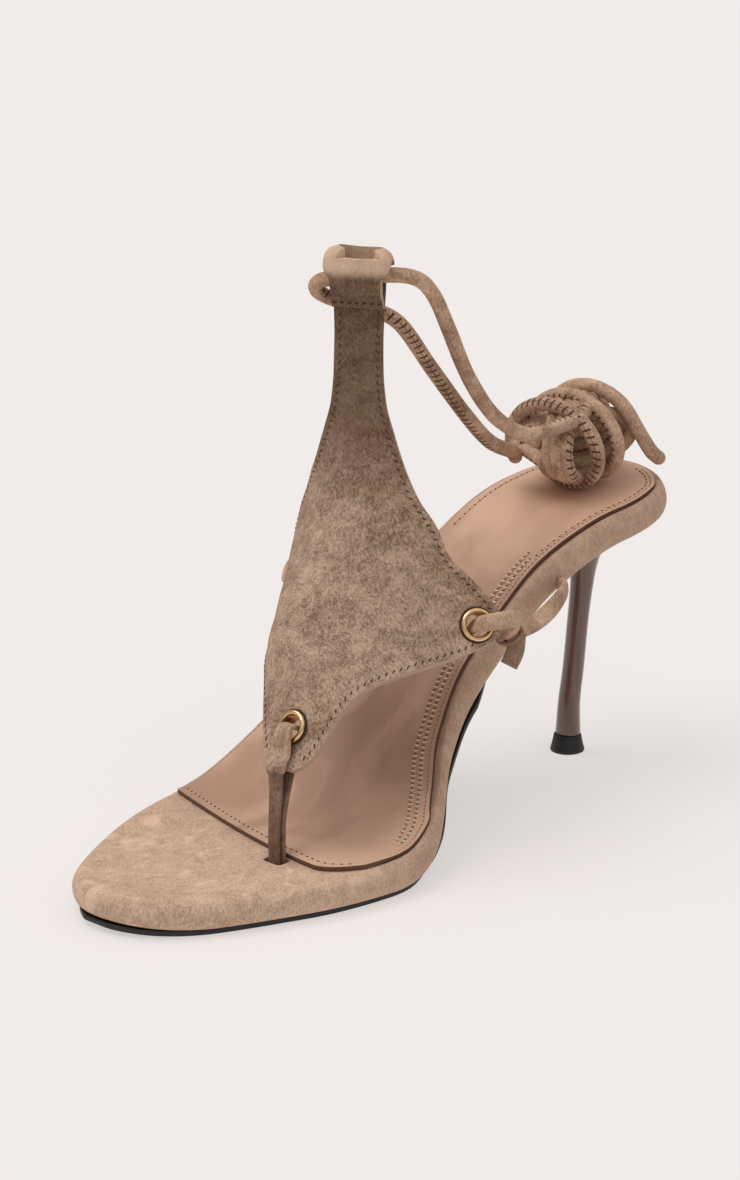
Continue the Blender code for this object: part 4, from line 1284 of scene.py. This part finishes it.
def build_eyelets(colour):
    """Slim gold rings: a rolled flange outside, a barrel through the wall and a flat washer inside, and round
    each a thin dark torus that is a painted shadow.
    """
    metal = gold("eyelet_gold", colour)
    shadow = plain("eyelet_painted_shadow", srgb(*EYELET_SHADOW))
    out = GAP
    inside = -PANEL_WALL - GAP * 4
    rise = EYELET_FLANGE
    bore, rim = EYELET_BORE + 0.0003, EYELET_RADIUS - 0.0004
    profile = [(bore, inside - 0.0004), (bore, out + rise * 0.3)]
    for k in range(9):
        angle = math.pi - math.pi * k / 8
        profile.append(((bore + rim) / 2 + (rim - bore) / 2 * math.cos(angle), out + rise * 0.35
                        + rise * 0.9 * math.sin(angle)))
    profile += [(rim - 0.0002, out), (bore + 0.0005, out), (bore + 0.0005, inside), (rim - 0.0008, inside),
                (rim - 0.0008, inside - 0.0004)]
    last = len(profile)
    for name, height, across in EYELETS:
        p, n = eyelet_place(height, across)
        side = n.orthogonal().normalized()
        other = n.cross(side)

        def place(u, v):
            r, h = profile[round(u * last) % last]
            angle = 2 * math.pi * v
            return p + (side * math.cos(angle) + other * math.sin(angle)) * r + n * h

        obj = sheet(name + "_ring", 56, last, place, wrap=True)
        finish_piece(obj, [metal], "eyelet_metal", name)
        # thin dark torus round the rim: a painted shadow on the suede
        bpy.ops.mesh.primitive_torus_add(major_segments=48, minor_segments=8, major_radius=rim + 0.0001,
                                         minor_radius=0.00034, location=p + n * 0.00012,
                                         rotation=n.to_track_quat("Z", "Y").to_euler())
        seat = bpy.context.object
        seat.name = name + "_shadow_ring"
        bpy.ops.object.transform_apply(location=True, rotation=True, scale=True)
        finish_piece(seat, [shadow], "eyelet_metal")


# Thong

def thong_route():
    """Middle line of the toe thong with its width: from the slot over the tip, in at the eyelet and back."""
    lift = THONG_THICK / 2
    _, height, across = EYELETS[0]
    z0 = height * NECK_TOP
    lowest = PANEL_ROWS[0][0]
    leg = sized(THONG_LEG, INNER_HALF, SOLE_LENGTH, NECK_TOP, THONG_WIDTH)
    route = []

    def on_panel(dz, out, width):
        z = max(z0 + dz, lowest)
        drop = min(z0 + dz - lowest, 0)
        p = panel_point(z, across) + Vector((0, 0, drop))
        route.append((p + panel_normal(z, across) * out, width))

    side = THONG_THICK / 2 + GAP * 0.6
    for x, y, z, width in leg:
        route.append((from_axis(x, y - side, z), width))
    on_panel(-0.0106, 0.0004 + lift, 0.0066)
    on_panel(-0.0072, 0.0006 + lift, 0.0070)
    on_panel(-0.0042, 0.0020 + lift, 0.0068)
    on_panel(-0.0020, 0.0026 + lift, 0.0056)
    on_panel(-0.0001, 0.0016 + lift, 0.0046)
    on_panel(0.0002, -0.0012, 0.0042)
    on_panel(-0.0002, -PANEL_WALL - 0.0028, 0.0042)
    on_panel(-0.0026, -PANEL_WALL - 0.0042, 0.0050)
    on_panel(-0.0058, -PANEL_WALL - 0.0040, 0.0056)
    on_panel(-0.0094, -PANEL_WALL - 0.0012, 0.0056)
    for x, y, z, width in reversed(leg[:-1]):
        route.append((from_axis(x, y + side, z), width))
    return route


def build_thong(colours):
    """Folded strip: a slit front leg, a fold under the panel's tip and a pleated fan into the eyelet."""
    route = thong_route()
    path = smooth_path([p for p, _ in route], LOOP_STEP)
    marks = [min(range(len(path)), key=lambda k: (path[k] - p).length) for p, _ in route]
    widths = []
    for k in range(len(path)):
        j = max(i for i in range(len(marks)) if marks[i] <= k) if k >= marks[0] else 0
        j = min(j, len(marks) - 2)
        span = max(marks[j + 1] - marks[j], 1)
        u = (k - marks[j]) / span
        widths.append(route[j][1] + (route[j + 1][1] - route[j][1]) * u * u * (3 - 2 * u))
    across = Vector((1, 0, 0))
    last = len(path) - 1
    frames = []
    for k, p in enumerate(path):
        t = (path[min(k + 1, last)] - path[max(k - 1, 0)]).normalized()
        w = (across - t * across.dot(t)).normalized()
        frames.append((w, t.cross(w)))
    sides = 48

    def place(u, v):
        k = round(v * last)
        w, d = frames[k]
        angle = 2 * math.pi * u
        c, s = math.cos(angle), math.sin(angle)
        a = math.copysign(abs(c) ** 0.45, c)
        b = math.copysign(abs(s) ** 0.6, s)
        leg = k < marks[5] - 3
        fan = marks[5] - 3 <= k <= marks[9]
        dent = 0.0
        if leg and abs(a) < 0.22:
            dent = 0.55 * (1 - abs(a) / 0.22)
        if fan:
            dent = 0.22 * (0.5 + 0.5 * math.cos(a * math.pi * 3.2 + 0.6))
        ledge = 1.0 + 0.9 * math.exp(-((k - marks[5]) / 2.0) ** 2)
        half = widths[k] / 2 * (0.84 if leg else 1.0)
        deep = THONG_THICK / 2 * ledge
        return path[k] + w * half * a + d * deep * b * (1 - dent)

    obj = sheet("toe_thong_folded", last, sides, place, wrap=True, fill=True)
    light, dark = colours
    strip = suede("suede_thong", light, dark, swirl=1.0, slant=0.4, depth=0.8, shade=THONG_SHADE)
    finish_piece(obj, [strip], "suede_cord", "toe_thong", angle=60.0)


# Side ties

def tie_route(sign):
    """Middle line of a side tie from the footbed's edge before the heel to the inside of its eyelet."""
    _, height, across = EYELETS[1] if sign > 0 else EYELETS[2]
    start_share = share_at(AXIS_Y + TIE_START)
    edge = edges(start_share)[0 if sign > 0 else 1]
    level = footbed_under(start_share) + TIE_RADIUS + 0.0012
    out = [Vector((edge + sign * (GAP + 0.0001), AXIS_Y + TIE_START, level))]
    out.append(out[0] + Vector((sign * 0.0034, -0.0012, -0.0006)))
    for x, y, drop in sized(TIE_RUN, INNER_HALF, SOLE_LENGTH, SEAT_HEIGHT):
        sole_edge = abs(edges(share_at(AXIS_Y + y))[0 if sign > 0 else 1] - AXIS_X)
        out.append(Vector((AXIS_X + sign * max(x, sole_edge + TIE_CLEAR), AXIS_Y + y, drop)))
    p, n = eyelet_place(height, across)
    along = (panel_point(height * NECK_TOP, across * 1.09) - p).normalized()
    out.append(p + along * 0.0110 + n * 0.0032)
    out.append(p + along * 0.0048 + n * 0.0045)
    out.append(p + along * 0.0012 + n * 0.0034)
    out.append(p + n * 0.0004)
    out.append(p - n * (PANEL_WALL + 0.0036))
    return out


def build_tie(side, sign, finish, shade_copy):
    """Flat strip from the sole to the eyelet with a half turn in it, its knot and its cut tail."""
    route = tie_route(sign)
    path = smooth_path(route, TIE_STEP)
    wide, thin = TIE_RADIUS * 1.20, TIE_RADIUS * 0.50
    last = len(path) - 1

    def section(k, angle):
        c, s = math.cos(angle), math.sin(angle)
        near = min(k, last - k) * TIE_STEP
        grow = 1.0 if near > 0.0008 else 0.8
        return wide * math.copysign(abs(c) ** 0.7, c) * grow, thin * math.copysign(abs(s) ** 0.8, s) * grow

    tie = tube("tie_strip_" + side, path, 28, section, side=UP, twist=sign * TIE_TURN)
    finish_piece(tie, [finish], "suede_cord", "tie_" + side)

    at = max(k for k, q in enumerate(path) if (q - route[-2]).length > TIE_KNOT_BACK)
    axis = (path[at + 3] - path[at - 3]).normalized()
    out = Vector((sign, 0, 0))
    out = (out - axis * out.dot(axis)).normalized()
    coil = []
    spin = sign * TIE_TURN * TIE_STEP * at
    _, flat, edge = frame_along(path, UP)[at]
    flat, edge = flat * math.cos(spin) + edge * math.sin(spin), edge * math.cos(spin) - flat * math.sin(spin)
    for k in range(49):
        angle = 2 * math.pi * k / 48 * 1.25 - 1.2
        drift = (k / 48 - 0.5) * 0.0050
        coil.append(path[at] + axis * drift + flat * math.cos(angle) * (wide + 0.0007)
                    + edge * math.sin(angle) * (thin + 0.0008))
    knot_path = smooth_path(coil, KNOT_STEP)
    knot_last = len(knot_path) - 1

    def knot_section(k, angle):
        c, s = math.cos(angle), math.sin(angle)
        taper = min(1.0, 0.4 + min(k, knot_last - k) * 0.15)
        flat_half = 0.0007 * math.copysign(abs(c) ** 0.8, c)
        wide_half = 0.0021 * math.copysign(abs(s) ** 0.7, s)
        return flat_half * taper, wide_half * taper

    knot = tube("tie_knot_wound_" + side, knot_path, 20, knot_section, side=(coil[0] - path[at]).normalized())
    # the knot and the tail wear the darker copy of the tie's suede, painted shade
    finish_piece(knot, [shade_copy], "suede_cord", "tie_knot_" + side)
    lean = Vector((sign * 0.12, -TIE_TAIL_LEAN, -1.0)).normalized()
    first = path[at] + out * 0.0016 - lean * 0.0010
    tail_end = path[at] + lean * TIE_TAIL + out * 0.0014
    tail_path = smooth_path([first, first.lerp(tail_end, 0.5) + out * 0.0008, tail_end], KNOT_STEP)

    def tail_section(k, angle):
        c, s = math.cos(angle), math.sin(angle)
        return 0.0008 * math.copysign(abs(c) ** 0.5, c), 0.0026 * math.copysign(abs(s) ** 0.35, s)

    tail = tube("tie_tail_cut_" + side, tail_path, 28, tail_section, side=Vector((sign * 0.75, -0.65, 0)))
    finish_piece(tail, [shade_copy], "suede_cord", "tie_tail_" + side)
    path_length(path)


# Ankle lace

def bundle_frame():
    """Middle of the wound bundle, the direction along the heel seat and the one square to it."""
    low, high = AXIS_Y + 0.004, AXIS_Y + 0.022
    slope = math.atan2(insole_top(high) - insole_top(low), high - low)
    along = Vector((0, math.cos(slope), math.sin(slope)))
    up = Vector((0, -math.sin(slope), math.cos(slope)))
    foot = from_axis(BUNDLE_X, BUNDLE_Y, insole_top(AXIS_Y + BUNDLE_Y) + GAP / math.cos(slope))
    return foot + up * (BUNDLE_HEIGHT / 2), along, up


def bundle_turns(layers):
    """Wound turns of the bundle, layer by layer from the middle outwards."""
    centre, along, up = bundle_frame()
    rng = random.Random(7)
    out = []
    for a, b, x0, x1, tilt, turns, start in layers:
        steps = int(turns * 16)
        wobbles = [rng.uniform(-1, 1) for _ in range(int(turns) + 3)]
        for k in range(steps + 1):
            share = k / steps
            lap = share * turns
            angle = 2 * math.pi * (start + lap)
            wobble = wobbles[int(lap)] * (1 - lap % 1) + wobbles[int(lap) + 1] * (lap % 1)
            x = x0 + (x1 - x0) * share + tilt * math.cos(angle) + wobble * 0.0008
            out.append(centre + Vector((x, 0, 0)) + along * a * (1 + 0.05 * wobble) * math.cos(angle)
                       + up * b * math.sin(angle))
    return out


def bundle_wraps():
    """Last turns round the bundle's waist, drifting to the back, and the bare end that lies beside it."""
    centre, along, up = bundle_frame()
    out = []
    for k in range(WRAP_STEPS + 1):
        share = k / WRAP_STEPS
        angle = math.radians(WRAP_START - WRAP_SWEEP * share)
        shift = along * (WRAP_FIRST + WRAP_TRAVEL * share)
        out.append(centre + Vector((WRAP_HALF_WIDTH * math.cos(angle), 0, 0)) + shift
                   + up * WRAP_HALF_HEIGHT * math.sin(angle))
    tip = out[-1]
    out.append(tip + Vector((0.0014, 0, 0)) + along * 0.0022 - up * 0.0058)
    out.append(tip + Vector((0.0020, 0, 0)) + along * 0.0050 - up * 0.0112)
    out.append(tip + Vector((0.0024, 0, 0)) + along * 0.0090 - up * 0.0150)
    return out


def lace_path():
    """Whole ankle lace: its inner end in the bundle, the wound turns, up through the loop, back and round."""
    run = [from_axis(*p) for p in sized(LACE, LACE_TURN, SOLE_LENGTH, NECK_TOP)]
    path = smooth_path(bundle_turns(BUNDLE_LAYERS) + run + bundle_wraps(), LACE_SPACING)
    for _ in range(LACE_EASING):
        inner = [(path[k - 1] + path[k] * 2 + path[k + 1]) / 4 for k in range(1, len(path) - 1)]
        path = [path[0], *inner, path[-1]]
    return path


def build_lace(sizes, colours):
    """Rolled suede lace in one piece, whip stitched along its seam, with rounded bare ends."""
    path = lace_path()
    radius = LACE_RADIUS
    last = len(path) - 1

    def section(k, angle):
        near = min(k, last - k) * LACE_SPACING
        r = radius * round_end(near, radius)
        return r * math.cos(angle), r * math.sin(angle)

    lace = tube("ankle_lace_rolled", path, 14, section, twist=LACE_SEAM_TURN)
    light, dark = colours
    finish = stitched_suede("suede_lace", light, dark, sizes.lace_pitch, srgb(*LACE_THREAD))
    finish_piece(lace, [finish], "suede_cord", "ankle_lace", "lace_bundle", angle=80.0)
    tuple(path[0])
    path_length(path)
    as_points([tuple(p) for p in path[::2]] + [tuple(path[-1])])


# Stage

def build_floor(colour):
    """Plain pale floor."""
    bpy.ops.mesh.primitive_plane_add(size=9.0, location=(0, 0, 0))
    floor = bpy.context.object
    floor.name = "floor"
    finish = Finish("floor_pale")
    finish.set(Base_Color=tint(colour, FLOOR_TINT), Roughness=0.95)
    finish.set(Emission_Color=colour, Emission_Strength=FLOOR_GLOW)
    finish.constants(Specular_IOR_Level=0.0)
    floor.data.materials.append(finish.material)


def build_light():
    """Pale sky that is brighter above, and soft lamps."""
    world = bpy.data.worlds.new("studio")
    bpy.context.scene.world = world
    world.use_nodes = True
    tree = world.node_tree
    back = tree.nodes["Background"]
    spot = tree.nodes.new("ShaderNodeTexCoord")
    parts = tree.nodes.new("ShaderNodeSeparateXYZ")
    rise = tree.nodes.new("ShaderNodeMapRange")
    rise.inputs["From Min"].default_value = 0.05
    rise.inputs["From Max"].default_value = 0.95
    rise.inputs["To Min"].default_value = SKY_LOW
    rise.inputs["To Max"].default_value = SKY_HIGH
    tree.links.new(spot.outputs["Generated"], parts.inputs[0])
    tree.links.new(parts.outputs[2], rise.inputs["Value"])
    tree.links.new(rise.outputs["Result"], back.inputs[1])
    back.inputs[0].default_value = SKY_COLOUR
    for name, where, power, spread_angle in LAMPS:
        data = bpy.data.lights.new(name, "SUN")
        data.energy = power
        data.angle = math.radians(spread_angle)
        light = bpy.data.objects.new(name, data)
        light.rotation_euler = Vector(where).to_track_quat("Z", "Y").to_euler()
        light.location = where
        bpy.context.scene.collection.objects.link(light)


def build_camera():
    """Camera at the picture's own angle to the shoe."""
    forward = Vector((math.cos(PITCH) * math.sin(YAW), math.cos(PITCH) * math.cos(YAW), -math.sin(PITCH)))
    right = forward.cross(UP).normalized()
    up = right.cross(forward)
    tip = Vector((AXIS_X, AXIS_Y, 0.0))
    data = bpy.data.cameras.new("camera")
    data.sensor_width = SENSOR
    data.lens = FOCAL * ZOOM / PICTURE[1] * SENSOR
    data.clip_start = 0.05
    camera = bpy.data.objects.new("camera", data)
    ray = forward * FOCAL
    camera.location = tip - forward * DISTANCE
    aim = ray + right * (AIM_PIXEL[0] - TIP_PIXEL[0]) - up * (AIM_PIXEL[1] - TIP_PIXEL[1])
    camera.rotation_euler = aim.to_track_quat("-Z", "Y").to_euler()
    bpy.context.scene.collection.objects.link(camera)
    bpy.context.scene.camera = camera
    bpy.context.scene.view_settings.view_transform = "Standard"


# Add-on

def size_of(name, meaning, value):
    """Length property with its default."""
    return bpy.props.FloatProperty(name=name, description=meaning, default=value, unit="LENGTH")


def colour_of(name, value):
    """Colour property with its default."""
    return bpy.props.FloatVectorProperty(name=name, description=name + " in linear colour", subtype="COLOR",
                                         size=3, min=0.0, max=1.0, default=value)


class SandalSizes(bpy.types.PropertyGroup):
    """Small sizes of stitches that the dressing adds"""
    stitch_pitch: size_of("Stitch pitch", "Spacing of the panel's edge stitches", 0.0023)
    stitch_inset: size_of("Stitch inset", "Distance from the panel's edge to its stitches", 0.0017)
    insole_pitch: size_of("Insole pitch", "Spacing of the insole's stitches", 0.0024)
    pinhole_pitch: size_of("Pinhole pitch", "Spacing of the insole's pinholes and chain", 0.0019)
    lace_pitch: size_of("Lace pitch", "Spacing of the lace's whip stitches", 0.0022)


class SandalColours(bpy.types.PropertyGroup):
    """Colours of the sandal's finishes"""
    panel_light: colour_of("Panel light", srgb(200, 170, 146))
    panel_dark: colour_of("Panel dark", srgb(122, 94, 76))
    toe_light: colour_of("Footbed light", srgb(219, 187, 161))
    toe_dark: colour_of("Footbed dark", srgb(172, 140, 118))
    insole_light: colour_of("Insole light", srgb(205, 166, 140))
    insole_dark: colour_of("Insole dark", srgb(176, 137, 113))
    lace_light: colour_of("Lace light", srgb(214, 180, 152))
    lace_dark: colour_of("Lace dark", srgb(134, 101, 80))
    heel_light: colour_of("Heel light", srgb(132, 97, 78))
    heel_dark: colour_of("Heel dark", srgb(72, 46, 36))
    black: colour_of("Black rubber", srgb(24, 21, 23))
    metal: colour_of("Pale gold", srgb(236, 200, 152))
    floor: colour_of("Floor", (0.880, 0.843, 0.826))


class SANDAL_OT_footbed(bpy.types.Operator):
    """Adds the padded footbed in suede"""
    bl_idname = "sandal.footbed"
    bl_label = "Footbed"

    def execute(self, context):
        colours = context.scene.sandal_colours
        build_footbed((colours.toe_light, colours.toe_dark))
        return {"FINISHED"}


class SANDAL_OT_insole(bpy.types.Operator):
    """Adds the leather insole with its stitches"""
    bl_idname = "sandal.insole"
    bl_label = "Insole"

    def execute(self, context):
        colours = context.scene.sandal_colours
        build_insole(context.scene.sandal_sizes, (colours.insole_light, colours.insole_dark))
        return {"FINISHED"}


class SANDAL_OT_heel(bpy.types.Operator):
    """Adds the heel, its top piece and the outsole"""
    bl_idname = "sandal.heel"
    bl_label = "Heel"

    def execute(self, context):
        colours = context.scene.sandal_colours
        build_heel((colours.heel_light, colours.heel_dark))
        build_top_piece(colours.black)
        build_outsole(colours.black)
        return {"FINISHED"}


class SANDAL_OT_panel(bpy.types.Operator):
    """Adds the suede panel with its neck, loop and stitches"""
    bl_idname = "sandal.panel"
    bl_label = "Panel"

    def execute(self, context):
        colours = context.scene.sandal_colours
        build_panel(context.scene.sandal_sizes, (colours.panel_light, colours.panel_dark))
        return {"FINISHED"}


class SANDAL_OT_eyelets(bpy.types.Operator):
    """Adds the three eyelets"""
    bl_idname = "sandal.eyelets"
    bl_label = "Eyelets"

    def execute(self, context):
        build_eyelets(context.scene.sandal_colours.metal)
        return {"FINISHED"}


class SANDAL_OT_thong(bpy.types.Operator):
    """Adds the toe thong"""
    bl_idname = "sandal.thong"
    bl_label = "Thong"

    def execute(self, context):
        colours = context.scene.sandal_colours
        build_thong((colours.toe_light, colours.panel_dark))
        return {"FINISHED"}


class SANDAL_OT_ties(bpy.types.Operator):
    """Adds both side ties with their knots and tails"""
    bl_idname = "sandal.ties"
    bl_label = "Ties"

    def execute(self, context):
        colours = context.scene.sandal_colours
        light, dark = colours.lace_light, colours.lace_dark
        finish = suede("suede_tie", light, dark, swirl=1.0, slant=0.4, depth=0.8)
        # painted shade: darker copy of the tie's suede for the knots and tails
        shade_copy = suede("suede_tie_painted_shade", tint(light, TIE_SHADE_LIGHT), tint(dark, TIE_SHADE_DARK), swirl=1.0,
                       slant=0.4, depth=0.8)
        build_tie("medial", 1, finish, shade_copy)
        build_tie("lateral", -1, finish, shade_copy)
        return {"FINISHED"}


class SANDAL_OT_lace(bpy.types.Operator):
    """Adds the ankle lace with its bundle"""
    bl_idname = "sandal.lace"
    bl_label = "Lace"

    def execute(self, context):
        colours = context.scene.sandal_colours
        build_lace(context.scene.sandal_sizes, (colours.lace_light, colours.lace_dark))
        return {"FINISHED"}


class SANDAL_OT_stage(bpy.types.Operator):
    """Adds the floor, lights and camera"""
    bl_idname = "sandal.stage"
    bl_label = "Stage"

    def execute(self, context):
        build_floor(context.scene.sandal_colours.floor)
        build_light()
        build_camera()
        return {"FINISHED"}


OPERATORS = (SANDAL_OT_footbed, SANDAL_OT_insole, SANDAL_OT_heel, SANDAL_OT_panel, SANDAL_OT_eyelets,
             SANDAL_OT_thong, SANDAL_OT_ties, SANDAL_OT_lace, SANDAL_OT_stage)


class SANDAL_PT_build(bpy.types.Panel):
    """Sidebar panel with the sandal's sizes, colours and pieces"""
    bl_label = "Lace up heeled sandal"
    bl_idname = "SANDAL_PT_build"
    bl_space_type = "VIEW_3D"
    bl_region_type = "UI"
    bl_category = "Sandal"

    def draw(self, context):
        layout = self.layout
        for group in (context.scene.sandal_sizes, context.scene.sandal_colours):
            for key in group.__annotations__:
                layout.prop(group, key)
        for op in OPERATORS:
            layout.operator(op.bl_idname)


CLASSES = (SandalSizes, SandalColours, *OPERATORS, SANDAL_PT_build)


def register():
    """Adds the classes and the scene's properties."""
    for cls in CLASSES:
        bpy.utils.register_class(cls)
    bpy.types.Scene.sandal_sizes = bpy.props.PointerProperty(type=SandalSizes)
    bpy.types.Scene.sandal_colours = bpy.props.PointerProperty(type=SandalColours)


def unregister():
    """Removes the scene's properties and the classes."""
    del bpy.types.Scene.sandal_sizes
    del bpy.types.Scene.sandal_colours
    for cls in reversed(CLASSES):
        bpy.utils.unregister_class(cls)


def main():
    register()
    bpy.ops.object.select_all(action="DESELECT")
    bpy.ops.sandal.footbed()
    bpy.ops.sandal.insole()
    bpy.ops.sandal.heel()
    bpy.ops.sandal.panel()
    bpy.ops.sandal.eyelets()
    bpy.ops.sandal.thong()
    bpy.ops.sandal.ties()
    bpy.ops.sandal.lace()
    bpy.ops.sandal.stage()


if __name__ == "__main__":
    main()
